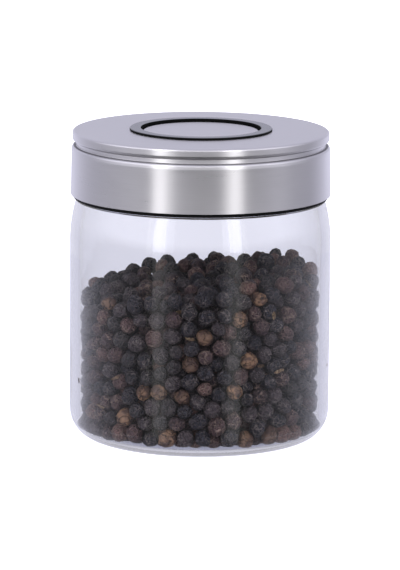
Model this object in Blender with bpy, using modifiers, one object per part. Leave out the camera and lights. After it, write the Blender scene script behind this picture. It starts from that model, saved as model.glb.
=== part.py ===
"""A squat glass storage jar with a push-button lid, full of peppercorns.

The lid lifts straight off the neck. Its button carries a cone that spreads a soft gasket
in the neck, and a push-push latch and a coil spring hold the button down or lift it.
Metres, +Z up, origin on the axis at the plane that the jar stands on.
"""

from math import asin, ceil, cos, pi, radians, sin, sqrt, tan

import bmesh
import bpy
from mathutils import Vector, geometry

# Clearances
SEAT_GAP = 0.0003
SLIDE_GAP = 0.0003
OVERRUN = 0.0010
BITE = 0.0005

# Fineness of the round shapes
WIDE_STEPS = 40
MIDDLE_STEPS = 32
SMALL_STEPS = 16
SCREW_STEPS = 8
FILLET_TURN = radians(45)
SHOULDER_FACETS = 5
BASE_FACETS = 5
PUNT_FACETS = 3
SHARP_TURN = radians(35)
MERGE = 0.00001

# Glass jar
JAR_RADIUS = 0.0400
JAR_WALL = 0.0030
BODY_HEIGHT = 0.0607
BASE_EDGE_WIDTH = 0.0080
BASE_EDGE_HEIGHT = 0.0093
FLOOR_THICKNESS = 0.0022
FLOOR_CORNER = 0.0055
REST_RING_WIDTH = 0.0030
PUNT_HEIGHT = 0.0005
SHOULDER_RADIUS = 0.0450
SHOULDER_HEIGHT = 0.0130
NECK_STEP = 0.0007
NECK_HEIGHT = 0.0133
RIM_ROUNDING = 0.0012
neck_foot = BODY_HEIGHT + SHOULDER_HEIGHT
rim_top = neck_foot + NECK_HEIGHT
shoulder_drop = SHOULDER_RADIUS - sqrt(SHOULDER_RADIUS**2 - SHOULDER_HEIGHT**2)
neck_radius = JAR_RADIUS - shoulder_drop - NECK_STEP
neck_bore = neck_radius - JAR_WALL
inner_radius = JAR_RADIUS - JAR_WALL
floor_top = PUNT_HEIGHT + FLOOR_THICKNESS
rest_outer = JAR_RADIUS - BASE_EDGE_WIDTH
rest_inner = rest_outer - REST_RING_WIDTH

# Peppercorns: a heap that is a little lower at -X, with the outermost ones as lumps
FILL_LEVEL = 0.0480
FILL_TILT = 0.0018
FILL_RIPPLE = 0.0007
FILL_RIPPLE_COUNT = 5
CORN_RADIUS = 0.00255
LUMP_DEPTH = 0.0015
fill_radius = inner_radius - SEAT_GAP
fill_bottom = floor_top + SEAT_GAP
fill_corner = FLOOR_CORNER - SEAT_GAP
first_row = fill_bottom + fill_corner * (1 - cos(FILLET_TURN))
last_row = FILL_LEVEL - CORN_RADIUS / 2
corn_rows = round((last_row - first_row) / (2 * CORN_RADIUS * sin(pi / 3)))
corns_around = round(pi * (fill_radius - CORN_RADIUS) / CORN_RADIUS)
corn_rings = round((fill_radius - CORN_RADIUS / 2) / (2 * CORN_RADIUS))

# Soft washer on the rim
SEAL_THICKNESS = 0.0008
seal_bottom = rim_top + SEAT_GAP
seal_top = seal_bottom + SEAL_THICKNESS

# Lid housing
SKIRT_WALL = 0.0013
SKIRT_CLEARANCE = 0.00045
SKIRT_ROUNDING = 0.0003
DECK_RISE = 0.0057
DECK_THICKNESS = 0.0018
DECK_FLOOR_OVER_SEAL = 0.0016
HOUSING_WALL = 0.0017
PLUG_GAP = 0.0008
PLUG_LIFT = 0.00035
channel_roof = seal_top + SEAT_GAP
skirt_bore = neck_radius + SEAT_GAP
skirt_radius = skirt_bore + SKIRT_WALL
skirt_bottom = neck_foot + SKIRT_CLEARANCE
deck_top = channel_roof + DECK_RISE
deck_underside = deck_top - DECK_THICKNESS
plug_radius = neck_bore - PLUG_GAP
plug_bore = plug_radius - HOUSING_WALL
plug_bottom = skirt_bottom + PLUG_LIFT

# Steel cover, with heights below its flat top and radii in from its band
COVER_THICKNESS = 0.0004
COVER_TOP_GAP = 0.0003
NOSE_INSET = 0.00033
NOSE_ROUNDING = 0.0009
NOSE_DEPTH = 0.0027
NOSE_UNDER_ROUNDING = 0.0005
GROOVE_INSET = 0.00163
GROOVE_DEPTH = 0.0032
GROOVE_ROUNDING = 0.0002
GROOVE_FOOT_DEPTH = 0.0045
GROOVE_FOOT_ROUNDING = 0.0002
SHOULDER_INSET = 0.00023
COVER_SHOULDER_DEPTH = 0.0047
COVER_SHOULDER_ROUNDING = 0.0011
BAND_START_DEPTH = 0.0061
HEM_SHOW = 0.0011
HEM_FLARE = 0.00015
HEM_FLARE_START = 0.0025
HEM_FLARE_HEIGHT = 0.0002
HEM_ROUNDING = 0.0001
HEM_CURL = 0.0002
band_radius = skirt_radius + SEAT_GAP + COVER_THICKNESS
cover_top = deck_top + COVER_TOP_GAP + COVER_THICKNESS
hem_bottom = skirt_bottom + HEM_SHOW
housing_edge = band_radius - GROOVE_INSET - COVER_THICKNESS - SEAT_GAP

# Button disc
BUTTON_RADIUS = 0.0178
DISC_THICKNESS = 0.0005
DISC_RIM_DEPTH = 0.0027
DISC_ROUNDING = 0.0006
DISC_SINK = 0.00015
disc_top = cover_top - DISC_SINK

# Raised ring round the button
RING_RISE = 0.0008
RING_WALL = 0.0018
RING_LIP = 0.0019
RING_ROUNDING = 0.0003
RING_MOUTH = 0.0006
RING_MOUTH_DEPTH = 0.0016
RING_TUBE = 0.0021
button_bore = BUTTON_RADIUS + SLIDE_GAP
ring_tube_radius = button_bore + RING_WALL
ring_radius = ring_tube_radius + RING_LIP
ring_top = cover_top + RING_RISE
ring_flange_bottom = cover_top + SEAT_GAP
ring_bottom = ring_flange_bottom - RING_TUBE
ring_hole = ring_tube_radius + SEAT_GAP
ring_seat = ring_bottom - SEAT_GAP

# Travel of the button and of the lid
BUTTON_TRAVEL = 0.0060
OVERPRESS = 0.0008
TRAVEL_CLEARANCE = 0.0004

# Base plate of the plug
BASE_THICKNESS = 0.0016
BASE_EDGE_INSET = 0.0002
BASE_ROUNDING = 0.0007
COLLAR_WALL = 0.0007
COLLAR_HEIGHT = 0.0012
base_top = plug_bottom + BASE_THICKNESS
base_radius = plug_radius - BASE_EDGE_INSET

# Expander cone
CONE_WEB = 0.0014
CONE_WALL = 0.0013
CONE_CLEARANCE = 0.0013
CONE_LAND = 0.0004
CONE_RISE = 0.0040
CONE_TAPER = 0.25
CONE_ROUNDING = 0.0003
cone_bottom = base_top + OVERPRESS + SEAT_GAP
cone_web_top = cone_bottom + CONE_WEB
cone_top_radius = plug_bore - CONE_CLEARANCE
cone_foot_radius = cone_top_radius - CONE_RISE * CONE_TAPER
cone_shoulder = cone_bottom + CONE_RISE
cone_top = cone_shoulder + CONE_LAND
cone_well_radius = cone_foot_radius - CONE_WALL

# Gasket
GASKET_HEIGHT = 0.0061
GASKET_RIB = 0.0006
GASKET_RIB_COUNT = 2
GASKET_RIB_POINTS = 4
gasket_bottom = base_top + SEAT_GAP
gasket_top = gasket_bottom + GASKET_HEIGHT
gasket_valley_radius = neck_bore - SEAT_GAP - GASKET_RIB
plug_wall_bottom = gasket_top + SEAT_GAP

# Guide tube of the housing
GUIDE_STEP = 0.0004
guide_radius = ring_hole + GUIDE_STEP
guide_bottom = cone_web_top + BUTTON_TRAVEL + TRAVEL_CLEARANCE

# Plunger under the disc
CROWN_THICKNESS = 0.0016
PLUNGER_WALL = 0.0014
BOSS_RADIUS = 0.0024
BOSS_INSET = 0.0020
disc_inner_radius = BUTTON_RADIUS - DISC_THICKNESS
crown_top = disc_top - DISC_THICKNESS - SEAT_GAP
crown_underside = crown_top - CROWN_THICKNESS
crown_radius = disc_inner_radius - SEAT_GAP
plunger_ledge = disc_top - DISC_RIM_DEPTH - SEAT_GAP
plunger_bore = BUTTON_RADIUS - PLUNGER_WALL
plunger_bottom = cone_web_top + SEAT_GAP
boss_circle = plunger_bore - BOSS_INSET

# Countersunk screws
SCREW_COUNT = 3
SCREW_RADIUS = 0.0009
SCREW_HEAD_RADIUS = 0.0019
SCREW_HEAD_HEIGHT = 0.0010
SCREW_HEAD_LAND = 0.0002
SCREW_LENGTH = 0.0080
SCREW_TIP = 0.0006
SCREW_SINK = 0.0001
RECESS_WIDTH = 0.0005
RECESS_LENGTH = 0.0018
RECESS_DEPTH = 0.0005
PILLAR_RADIUS = 0.0026
PILLAR_CLEARANCE = 0.0005
SCREW_LAND = 0.0005
screw_bore = SCREW_RADIUS + SEAT_GAP
pillar_circle = (guide_radius + cone_well_radius) / 2
pillar_bottom = base_top + SEAT_GAP
PILLAR_TURN = radians(30)
BOSS_TURN = radians(90)

# Push-push latch
BARREL_BORE = 0.0048
BARREL_WALL = 0.0012
BARREL_FLANGE = 0.0010
BARREL_HEIGHT = 0.0105
RIB_COUNT = 4
RIB_DEPTH = 0.0011
RIB_WIDTH = 0.0024
RIB_HEIGHT = 0.0035
RIB_SLOPE = 0.0010
LUG_WIDTH = 0.0022
LUG_HEIGHT = 0.0026
ROTOR_WALL = 0.0011
ROTOR_HEIGHT = 0.0035
STEM_RADIUS = 0.0026
STEM_TIP_RADIUS = 0.0019
ROTOR_SCREW_HEAD_RADIUS = 0.0030
ROTOR_SCREW_HEAD = 0.0009
ROTOR_SCREW_RADIUS = 0.0008
ROTOR_SCREW_LENGTH = 0.0065
barrel_bottom = base_top + SEAT_GAP
barrel_radius = BARREL_BORE + BARREL_WALL
barrel_top = barrel_bottom + BARREL_HEIGHT
flange_top = barrel_bottom + BARREL_FLANGE
cone_bore = boss_circle - SCREW_HEAD_RADIUS - SEAT_GAP - SCREW_LAND
collar_bore = cone_bore - PILLAR_CLEARANCE - COLLAR_WALL
flange_radius = collar_bore - SEAT_GAP
rotor_screw_bottom = base_top + OVERPRESS + SLIDE_GAP + BITE
rotor_bottom = rotor_screw_bottom + ROTOR_SCREW_HEAD + SEAT_GAP
rotor_top = rotor_bottom + ROTOR_HEIGHT
rotor_bore = STEM_TIP_RADIUS + SLIDE_GAP
rotor_radius = rotor_bore + ROTOR_WALL
stem_step = rotor_top + SEAT_GAP
rotor_screw_bore = ROTOR_SCREW_RADIUS + SEAT_GAP

# Return spring, drawn at its length with the button down
SPRING_RADIUS = 0.0086
WIRE_RADIUS = 0.0005
SPRING_TURNS = 6
END_TURN_RISE = 0.0015
POINTS_PER_TURN = 10
LEAST_GAP = 0.0004
spring_bottom = flange_top + SEAT_GAP
spring_top = crown_underside - SEAT_GAP


def clear_scene():
    for thing in list(bpy.data.objects):
        bpy.data.objects.remove(thing, do_unlink=True)


def new_collection(name):
    collection = bpy.data.collections.new(name)
    bpy.context.scene.collection.children.link(collection)
    return collection


def finish(name, colour, roughness, metallic=0.0, transmission=0.0, ior=1.5):
    """A material of one even colour, given as (red, green, blue) in linear light."""
    material = bpy.data.materials.new(name)
    material.use_nodes = True
    shader = material.node_tree.nodes["Principled BSDF"]
    shader.inputs["Base Color"].default_value = (*colour, 1.0)
    shader.inputs["Roughness"].default_value = roughness
    shader.inputs["Metallic"].default_value = metallic
    shader.inputs["Transmission Weight"].default_value = transmission
    shader.inputs["IOR"].default_value = ior
    material.diffuse_color = (*colour, 1.0)
    return material


def rounded(corners):
    """The outline through corners (radius, height, fillet), each fillet drawn as an arc.

    A fillet is limited to the room that the sides beside it leave.
    """
    points = []
    for i, (radius, height, fillet) in enumerate(corners):
        here = Vector((radius, height))
        if not fillet:
            points.append(tuple(here))
            continue
        before = Vector(corners[i - 1][:2]) - here
        after = Vector(corners[(i + 1) % len(corners)][:2]) - here
        half = before.angle(after) / 2
        reach = min(fillet / tan(half), before.length / 2, after.length / 2)
        centre = here + (before.normalized() + after.normalized()).normalized() * reach / cos(half)
        start = here + before.normalized() * reach - centre
        turn = start.angle_signed(here + after.normalized() * reach - centre)
        facets = max(1, ceil(abs(turn) / FILLET_TURN - 1e-6))
        for k in range(facets + 1):
            angle = -turn * k / facets
            points.append(
                (
                    centre.x + start.x * cos(angle) - start.y * sin(angle),
                    centre.y + start.x * sin(angle) + start.y * cos(angle),
                )
            )
    return points


def shoulder(radius, top, facets):
    """Points down the jar's shoulder, concentric with its outer face, to the straight body."""
    centre = JAR_RADIUS - SHOULDER_RADIUS
    sweep = asin((top - BODY_HEIGHT) / radius)
    return [
        (centre + radius * cos(sweep * k / facets), BODY_HEIGHT + radius * sin(sweep * k / facets))
        for k in range(facets, -1, -1)
    ]


def lathe(name, outline, steps, closed=True):
    """A mesh turned round +Z from (radius, height) points that run down the outer side."""
    count = len(outline)
    edges = [(i, (i + 1) % count) for i in range(count if closed else count - 1)]
    mesh = bpy.data.meshes.new(name)
    mesh.from_pydata([(radius, 0, height) for radius, height in outline], edges, [])
    turned = bpy.data.objects.new(name, mesh)
    screw = turned.modifiers.new("Turn", "SCREW")
    screw.axis = "Z"
    screw.angle = 2 * pi
    screw.steps = steps
    screw.render_steps = steps
    screw.use_merge_vertices = True
    screw.merge_threshold = MERGE
    screw.use_smooth_shade = True
    return turned


def rod(name, radius, low, high, sides, x=0.0, y=0.0):
    """An upright round bar between two heights."""
    mesh = bpy.data.meshes.new(name)
    shape = bmesh.new()
    bmesh.ops.create_cone(
        shape,
        cap_ends=True,
        segments=sides,
        radius1=radius,
        radius2=radius,
        depth=high - low,
    )
    shape.to_mesh(mesh)
    shape.free()
    bar = bpy.data.objects.new(name, mesh)
    bar.location = (x, y, (low + high) / 2)
    return bar


def block(name, size, place, turn=0.0, slope=0.0, slope_top=False):
    """A box of a given size, centred at place in its own turned frame.

    One of its lower or upper edges is drawn down by slope, for a ratchet's slanted end.
    """
    mesh = bpy.data.meshes.new(name)
    shape = bmesh.new()
    bmesh.ops.create_cube(shape, size=1)
    bmesh.ops.scale(shape, vec=size, verts=shape.verts)
    for vertex in shape.verts:
        if vertex.co.y > 0 and (vertex.co.z > 0) == slope_top:
            vertex.co.z -= slope
    bmesh.ops.translate(shape, vec=place, verts=shape.verts)
    shape.to_mesh(mesh)
    shape.free()
    box = bpy.data.objects.new(name, mesh)
    box.rotation_euler.z = turn
    return box


def combine(target, tool, operation, helpers):
    """Joins the tool to the target, or cuts it away, with an exact Boolean."""
    helpers.objects.link(tool)
    tool.hide_render = True
    tool.display_type = "WIRE"
    boolean = target.modifiers.new(tool.name, "BOOLEAN")
    boolean.operation = operation
    boolean.solver = "EXACT"
    boolean.object = tool


def on_circle(radius, first_turn, count):
    """(number, x, y, turn) for places spread evenly round the axis."""
    for i in range(count):
        turn = first_turn + 2 * pi * i / count
        yield i + 1, radius * cos(turn), radius * sin(turn), turn


def glass_jar():
    """Jar with a straight body, a soft shoulder, a plain neck and a well-rounded base."""
    inner = rounded(
        [
            (0, floor_top, 0),
            (inner_radius, floor_top, FLOOR_CORNER),
            (inner_radius, BODY_HEIGHT, 0),
        ]
    )
    inner += reversed(inner_shoulder())
    rim = [
        (neck_bore, rim_top, RIM_ROUNDING),
        (neck_radius, rim_top, RIM_ROUNDING),
        (neck_radius, neck_foot, 0),
    ]
    rim = rounded([(neck_bore, neck_foot, 0), *rim])[1:]
    outer = shoulder(SHOULDER_RADIUS, neck_foot, SHOULDER_FACETS)
    corner = [
        (
            JAR_RADIUS - BASE_EDGE_WIDTH * (1 - cos(pi / 2 * k / BASE_FACETS)),
            BASE_EDGE_HEIGHT * (1 - sin(pi / 2 * k / BASE_FACETS)),
        )
        for k in range(BASE_FACETS + 1)
    ]
    corner.append((rest_inner, 0))
    punt = [
        (rest_inner * cos(pi / 2 * k / PUNT_FACETS), PUNT_HEIGHT * sin(pi / 2 * k / PUNT_FACETS))
        for k in range(1, PUNT_FACETS)
    ]
    outline = inner + rim + outer + corner + punt + [(0, PUNT_HEIGHT)]
    return lathe("glass_jar", outline, WIDE_STEPS, closed=False)


def inner_shoulder():
    """Points down the inside of the shoulder, from the neck's bore to the body."""
    radius = SHOULDER_RADIUS - JAR_WALL
    centre = JAR_RADIUS - SHOULDER_RADIUS
    meets_bore = BODY_HEIGHT + sqrt(radius**2 - (neck_bore - centre) ** 2)
    return shoulder(radius, meets_bore, SHOULDER_FACETS)[:-1]


def heap_rows():
    """Places of the peppercorns that touch the wall: staggered rows from the floor's corner up."""
    rows = []
    for row in range(corn_rows + 1):
        share = row / corn_rows
        level = first_row + (last_row - first_row) * share
        drawn_in = max(0, fill_bottom + fill_corner - level) * tan(FILLET_TURN / 2)
        stagger = row % 2 * pi / corns_around
        places = []
        for _, x, y, _ in on_circle(fill_radius - drawn_in, stagger, corns_around):
            places.append((x, y, level + FILL_TILT * share * x / fill_radius))
        rows.append(places)
    return rows


def heap_top():
    """Places of the peppercorns on top, in rings about the axis, with a gently uneven level."""
    places = []
    for ring in range(corn_rings):
        radius = fill_radius * ring / corn_rings
        for _, x, y, _ in on_circle(radius, ring, max(1, 6 * ring)):
            across, along = FILL_RIPPLE_COUNT * x / fill_radius, FILL_RIPPLE_COUNT * y / fill_radius
            ripple = FILL_RIPPLE * sin(across + along) * cos(along - across)
            places.append((x, y, FILL_LEVEL + FILL_TILT * x / fill_radius + ripple))
    return places


def peppercorn_fill():
    """The heap as one solid: each outer peppercorn is the tip of a lump, with pits between."""
    shape = bmesh.new()
    rows = [[shape.verts.new(place) for place in row] for row in heap_rows()]
    lumpy = []
    for row, (low, high) in enumerate(zip(rows, rows[1:])):
        for i in range(corns_around):
            after = (i + 1) % corns_around
            middle, side = (after, i) if row % 2 else (i, after)
            lumpy.append(shape.faces.new((low[i], low[after], high[middle])))
            if row % 2:
                lumpy.append(shape.faces.new((low[i], high[middle], high[side])))
            else:
                lumpy.append(shape.faces.new((low[after], high[side], high[middle])))
    crown = rows[-1] + [shape.verts.new(place) for place in heap_top()]
    flat = [Vector((vertex.co.x, vertex.co.y)) for vertex in crown]
    faces = geometry.delaunay_2d_cdt(flat, [], [], 0, MERGE)[2]
    lumpy += [shape.faces.new([crown[i] for i in face]) for face in faces]
    edges = [edge for edge in shape.edges if len(edge.link_faces) == 2]
    bmesh.ops.recalc_face_normals(shape, faces=shape.faces)
    bmesh.ops.poke(shape, faces=lumpy, offset=-LUMP_DEPTH)
    for edge in edges:
        bmesh.utils.edge_rotate(edge)
    foot = on_circle(fill_radius - fill_corner, 0, corns_around)
    foot = [shape.verts.new((x, y, fill_bottom)) for _, x, y, _ in foot]
    shape.faces.new(foot)
    for i in range(corns_around):
        after = (i + 1) % corns_around
        shape.faces.new((foot[i], foot[after], rows[0][after], rows[0][i]))
    bmesh.ops.recalc_face_normals(shape, faces=shape.faces)
    mesh = bpy.data.meshes.new("peppercorn_fill")
    shape.to_mesh(mesh)
    shape.free()
    mesh.shade_smooth()
    return bpy.data.objects.new("peppercorn_fill", mesh)


def rim_seal():
    """Flat washer between the glass rim and the roof of the housing's channel."""
    outline = [
        (neck_bore + SEAT_GAP, seal_top),
        (neck_radius - SEAT_GAP, seal_top),
        (neck_radius - SEAT_GAP, seal_bottom),
        (neck_bore + SEAT_GAP, seal_bottom),
    ]
    return lathe("rim_seal", outline, MIDDLE_STEPS)


def lid_housing(helpers):
    """Moulded liner: skirt outside the neck, plug wall inside it, guide tube and pillars."""
    core_floor = channel_roof + DECK_FLOOR_OVER_SEAL
    core_radius = housing_edge - HOUSING_WALL
    shoulder_top = cover_top - COVER_SHOULDER_DEPTH - COVER_THICKNESS - SEAT_GAP
    shoulder_rounding = COVER_SHOULDER_ROUNDING - COVER_THICKNESS
    groove_bottom = cover_top - GROOVE_FOOT_DEPTH - SEAT_GAP
    outline = rounded(
        [
            (ring_hole, deck_top, 0),
            (plug_radius, deck_top, 0),
            (plug_radius, core_floor, 0),
            (core_radius, core_floor, 0),
            (core_radius, deck_top, 0),
            (housing_edge, deck_top, SKIRT_ROUNDING),
            (housing_edge, groove_bottom, 0),
            (skirt_radius, shoulder_top, shoulder_rounding),
            (skirt_radius, skirt_bottom, SKIRT_ROUNDING),
            (skirt_bore, skirt_bottom, SKIRT_ROUNDING),
            (skirt_bore, channel_roof, 0),
            (plug_radius, channel_roof, 0),
            (plug_radius, plug_wall_bottom, 0),
            (plug_bore, plug_wall_bottom, 0),
            (plug_bore, deck_underside, 0),
            (guide_radius, deck_underside, 0),
            (guide_radius, guide_bottom, 0),
            (button_bore, guide_bottom, 0),
            (button_bore, ring_seat, 0),
            (ring_hole, ring_seat, 0),
        ]
    )
    housing = lathe("lid_housing", outline, MIDDLE_STEPS)
    for number, x, y, _ in on_circle(pillar_circle, PILLAR_TURN, SCREW_COUNT):
        pillar = rod(
            f"pillar_{number}", PILLAR_RADIUS, pillar_bottom, deck_underside + BITE, SMALL_STEPS, x, y
        )
        combine(housing, pillar, "UNION", helpers)
    for number, x, y, _ in on_circle(pillar_circle, PILLAR_TURN, SCREW_COUNT):
        top = plug_bottom + SCREW_SINK + SCREW_LENGTH + SEAT_GAP
        hole = rod(f"pillar_hole_{number}", screw_bore, pillar_bottom - OVERRUN, top, SCREW_STEPS, x, y)
        combine(housing, hole, "DIFFERENCE", helpers)
    return housing


def steel_cover():
    """Thin drawn shell: flat top, rolled bead, groove, shoulder, band and flared hem."""
    bead = band_radius - NOSE_INSET
    groove = band_radius - GROOVE_INSET
    outline = rounded(
        [
            (ring_hole, cover_top, 0),
            (bead, cover_top, NOSE_ROUNDING),
            (bead, cover_top - NOSE_DEPTH, NOSE_UNDER_ROUNDING),
            (groove, cover_top - GROOVE_DEPTH, GROOVE_ROUNDING),
            (groove, cover_top - GROOVE_FOOT_DEPTH, GROOVE_FOOT_ROUNDING),
            (band_radius - SHOULDER_INSET, cover_top - COVER_SHOULDER_DEPTH, COVER_SHOULDER_ROUNDING),
            (band_radius, cover_top - BAND_START_DEPTH, 0),
            (band_radius, hem_bottom + HEM_FLARE_START, 0),
            (band_radius + HEM_FLARE, hem_bottom + HEM_FLARE_HEIGHT, HEM_ROUNDING),
            (band_radius + HEM_FLARE - HEM_CURL, hem_bottom, 0),
        ]
    )
    cover = lathe("steel_cover", outline, WIDE_STEPS, closed=False)
    wall = cover.modifiers.new("Sheet", "SOLIDIFY")
    wall.thickness = COVER_THICKNESS
    wall.offset = -1
    wall.use_even_offset = True
    return cover


def button_ring():
    """Raised bezel with a wider mouth; its tube drops through the cover into the housing."""
    outline = rounded(
        [
            (button_bore + RING_MOUTH, ring_top, RING_ROUNDING / 2),
            (ring_radius, ring_top, RING_ROUNDING),
            (ring_radius, ring_flange_bottom, 0),
            (ring_tube_radius, ring_flange_bottom, 0),
            (ring_tube_radius, ring_bottom, 0),
            (button_bore, ring_bottom, 0),
            (button_bore, ring_top - RING_MOUTH_DEPTH, 0),
            (button_bore + RING_MOUTH, ring_top - RING_MOUTH_DEPTH, 0),
        ]
    )
    return lathe("button_ring", outline, MIDDLE_STEPS)


def button_disc():
    """Steel disc with a turned-down rim that grips the plunger."""
    outline = rounded(
        [
            (0, disc_top, 0),
            (BUTTON_RADIUS, disc_top, DISC_ROUNDING),
            (BUTTON_RADIUS, disc_top - DISC_RIM_DEPTH, 0),
        ]
    )
    disc = lathe("button_disc", outline, MIDDLE_STEPS, closed=False)
    wall = disc.modifiers.new("Sheet", "SOLIDIFY")
    wall.thickness = DISC_THICKNESS
    wall.offset = -1
    wall.use_even_offset = True
    return disc


def button_plunger(helpers):
    """Slides in the guide tube: crown, wall, screw bosses and the latch's stem."""
    outline = [
        (0, crown_top),
        (crown_radius, crown_top),
        (crown_radius, plunger_ledge),
        (BUTTON_RADIUS, plunger_ledge),
        (BUTTON_RADIUS, plunger_bottom),
        (plunger_bore, plunger_bottom),
        (plunger_bore, crown_underside),
        (STEM_RADIUS, crown_underside),
        (STEM_RADIUS, stem_step),
        (STEM_TIP_RADIUS, stem_step),
        (STEM_TIP_RADIUS, rotor_bottom),
        (0, rotor_bottom),
    ]
    plunger = lathe("button_plunger", outline, MIDDLE_STEPS, closed=False)
    for number, x, y, _ in on_circle(boss_circle, BOSS_TURN, SCREW_COUNT):
        boss = rod(
            f"boss_{number}", BOSS_RADIUS, plunger_bottom, crown_underside + BITE, SMALL_STEPS, x, y
        )
        combine(plunger, boss, "UNION", helpers)
    for number, x, y, _ in on_circle(boss_circle, BOSS_TURN, SCREW_COUNT):
        top = cone_bottom + SCREW_SINK + SCREW_LENGTH + SEAT_GAP
        hole = rod(f"boss_hole_{number}", screw_bore, plunger_bottom - OVERRUN, top, SCREW_STEPS, x, y)
        combine(plunger, hole, "DIFFERENCE", helpers)
    tip_hole_top = rotor_screw_bottom + ROTOR_SCREW_LENGTH + SEAT_GAP
    tip_hole = rod("stem_hole", rotor_screw_bore, rotor_bottom - OVERRUN, tip_hole_top, SCREW_STEPS)
    combine(plunger, tip_hole, "DIFFERENCE", helpers)
    return plunger


def countersink(name, face, x, y):
    """Cutter for a countersunk screw through a plate whose lower face is at a height."""
    head = SCREW_HEAD_RADIUS + SEAT_GAP
    waist = face + SCREW_SINK + SCREW_HEAD_HEIGHT
    outline = [
        (0, face + SCREW_LENGTH),
        (screw_bore, face + SCREW_LENGTH),
        (screw_bore, waist),
        (head, face + SCREW_SINK + SCREW_HEAD_LAND),
        (head, face - OVERRUN),
        (0, face - OVERRUN),
    ]
    cutter = lathe(name, outline, SCREW_STEPS, closed=False)
    cutter.location = (x, y, 0)
    return cutter


def expander_cone(helpers):
    """Dished ring under the plunger; its flared side spreads the gasket."""
    outline = rounded(
        [
            (cone_top_radius - CONE_WALL, cone_top, CONE_ROUNDING),
            (cone_top_radius, cone_top, CONE_ROUNDING),
            (cone_top_radius, cone_shoulder, 0),
            (cone_foot_radius, cone_bottom, 0),
            (cone_bore, cone_bottom, 0),
            (cone_bore, cone_web_top, 0),
            (cone_well_radius, cone_web_top, 0),
        ]
    )
    cone = lathe("expander_cone", outline, MIDDLE_STEPS)
    for number, x, y, _ in on_circle(pillar_circle, PILLAR_TURN, SCREW_COUNT):
        low = cone_bottom - OVERRUN
        high = cone_web_top + OVERRUN
        way = PILLAR_RADIUS + PILLAR_CLEARANCE
        hole = rod(f"pillar_way_{number}", way, low, high, SMALL_STEPS, x, y)
        combine(cone, hole, "DIFFERENCE", helpers)
    for number, x, y, _ in on_circle(boss_circle, BOSS_TURN, SCREW_COUNT):
        combine(cone, countersink(f"cone_sink_{number}", cone_bottom, x, y), "DIFFERENCE", helpers)
    return cone


def gasket():
    """Soft ring with ribs outside and the cone's taper inside."""
    ribs = []
    points = GASKET_RIB_COUNT * GASKET_RIB_POINTS
    for k in range(points + 1):
        swell = sin(pi * GASKET_RIB_COUNT * k / points) ** 2
        ribs.append((gasket_valley_radius + GASKET_RIB * swell, gasket_top - GASKET_HEIGHT * k / points))
    foot = cone_foot_radius + SEAT_GAP - (cone_bottom - gasket_bottom) * CONE_TAPER
    inside = [
        (foot, gasket_bottom),
        (cone_top_radius + SEAT_GAP, cone_shoulder),
        (cone_top_radius + SEAT_GAP, gasket_top),
    ]
    return lathe("gasket", ribs + inside, MIDDLE_STEPS)


def base_plate(helpers):
    """Closes the plug; a collar on it centres the latch barrel."""
    collar_radius = collar_bore + COLLAR_WALL
    outline = rounded(
        [
            (0, base_top, 0),
            (collar_bore, base_top, 0),
            (collar_bore, base_top + COLLAR_HEIGHT, 0),
            (collar_radius, base_top + COLLAR_HEIGHT, 0),
            (collar_radius, base_top, 0),
            (base_radius, base_top, 0),
            (base_radius, plug_bottom, BASE_ROUNDING),
            (0, plug_bottom, 0),
        ]
    )
    plate = lathe("base_plate", outline, MIDDLE_STEPS, closed=False)
    for number, x, y, _ in on_circle(pillar_circle, PILLAR_TURN, SCREW_COUNT):
        combine(plate, countersink(f"base_sink_{number}", plug_bottom, x, y), "DIFFERENCE", helpers)
    return plate


def screw_mesh(helpers):
    """One countersunk screw with a cross recess, head down, its face at height zero."""
    outline = [
        (0, SCREW_LENGTH),
        (SCREW_RADIUS - SCREW_TIP / 2, SCREW_LENGTH),
        (SCREW_RADIUS, SCREW_LENGTH - SCREW_TIP),
        (SCREW_RADIUS, SCREW_HEAD_HEIGHT),
        (SCREW_HEAD_RADIUS, SCREW_HEAD_LAND),
        (SCREW_HEAD_RADIUS, 0),
        (0, 0),
    ]
    screw = lathe("screw_pattern", outline, SCREW_STEPS, closed=False)
    for number, turn in enumerate((0, pi / 2)):
        size = (RECESS_LENGTH, RECESS_WIDTH, 2 * RECESS_DEPTH)
        combine(screw, block(f"recess_{number}", size, (0, 0, 0), turn), "DIFFERENCE", helpers)
    pattern = baked(screw)
    return pattern


def screws(name, mesh, face, circle, first_turn):
    """The screws of one circle, each its own object on the shared mesh."""
    made = []
    for number, x, y, turn in on_circle(circle, first_turn, SCREW_COUNT):
        screw = bpy.data.objects.new(f"{name}_{number}", mesh)
        screw.location = (x, y, face + SCREW_SINK)
        screw.rotation_euler.z = turn
        made.append(screw)
    return made


def latch_barrel(helpers):
    """Fixed sleeve of the latch; slanted ribs inside catch the rotor."""
    outline = [
        (BARREL_BORE, barrel_top),
        (barrel_radius, barrel_top),
        (barrel_radius, flange_top),
        (flange_radius, flange_top),
        (flange_radius, barrel_bottom),
        (BARREL_BORE, barrel_bottom),
    ]
    barrel = lathe("latch_barrel", outline, SMALL_STEPS)
    size = (RIB_DEPTH + BITE, RIB_WIDTH, RIB_HEIGHT)
    reach = BARREL_BORE - RIB_DEPTH + size[0] / 2
    for number, _, _, turn in on_circle(reach, 0, RIB_COUNT):
        place = (reach, 0, barrel_top - BITE - RIB_HEIGHT / 2)
        rib = block(f"rib_{number}", size, place, turn, RIB_SLOPE)
        combine(barrel, rib, "UNION", helpers)
    return barrel


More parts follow.
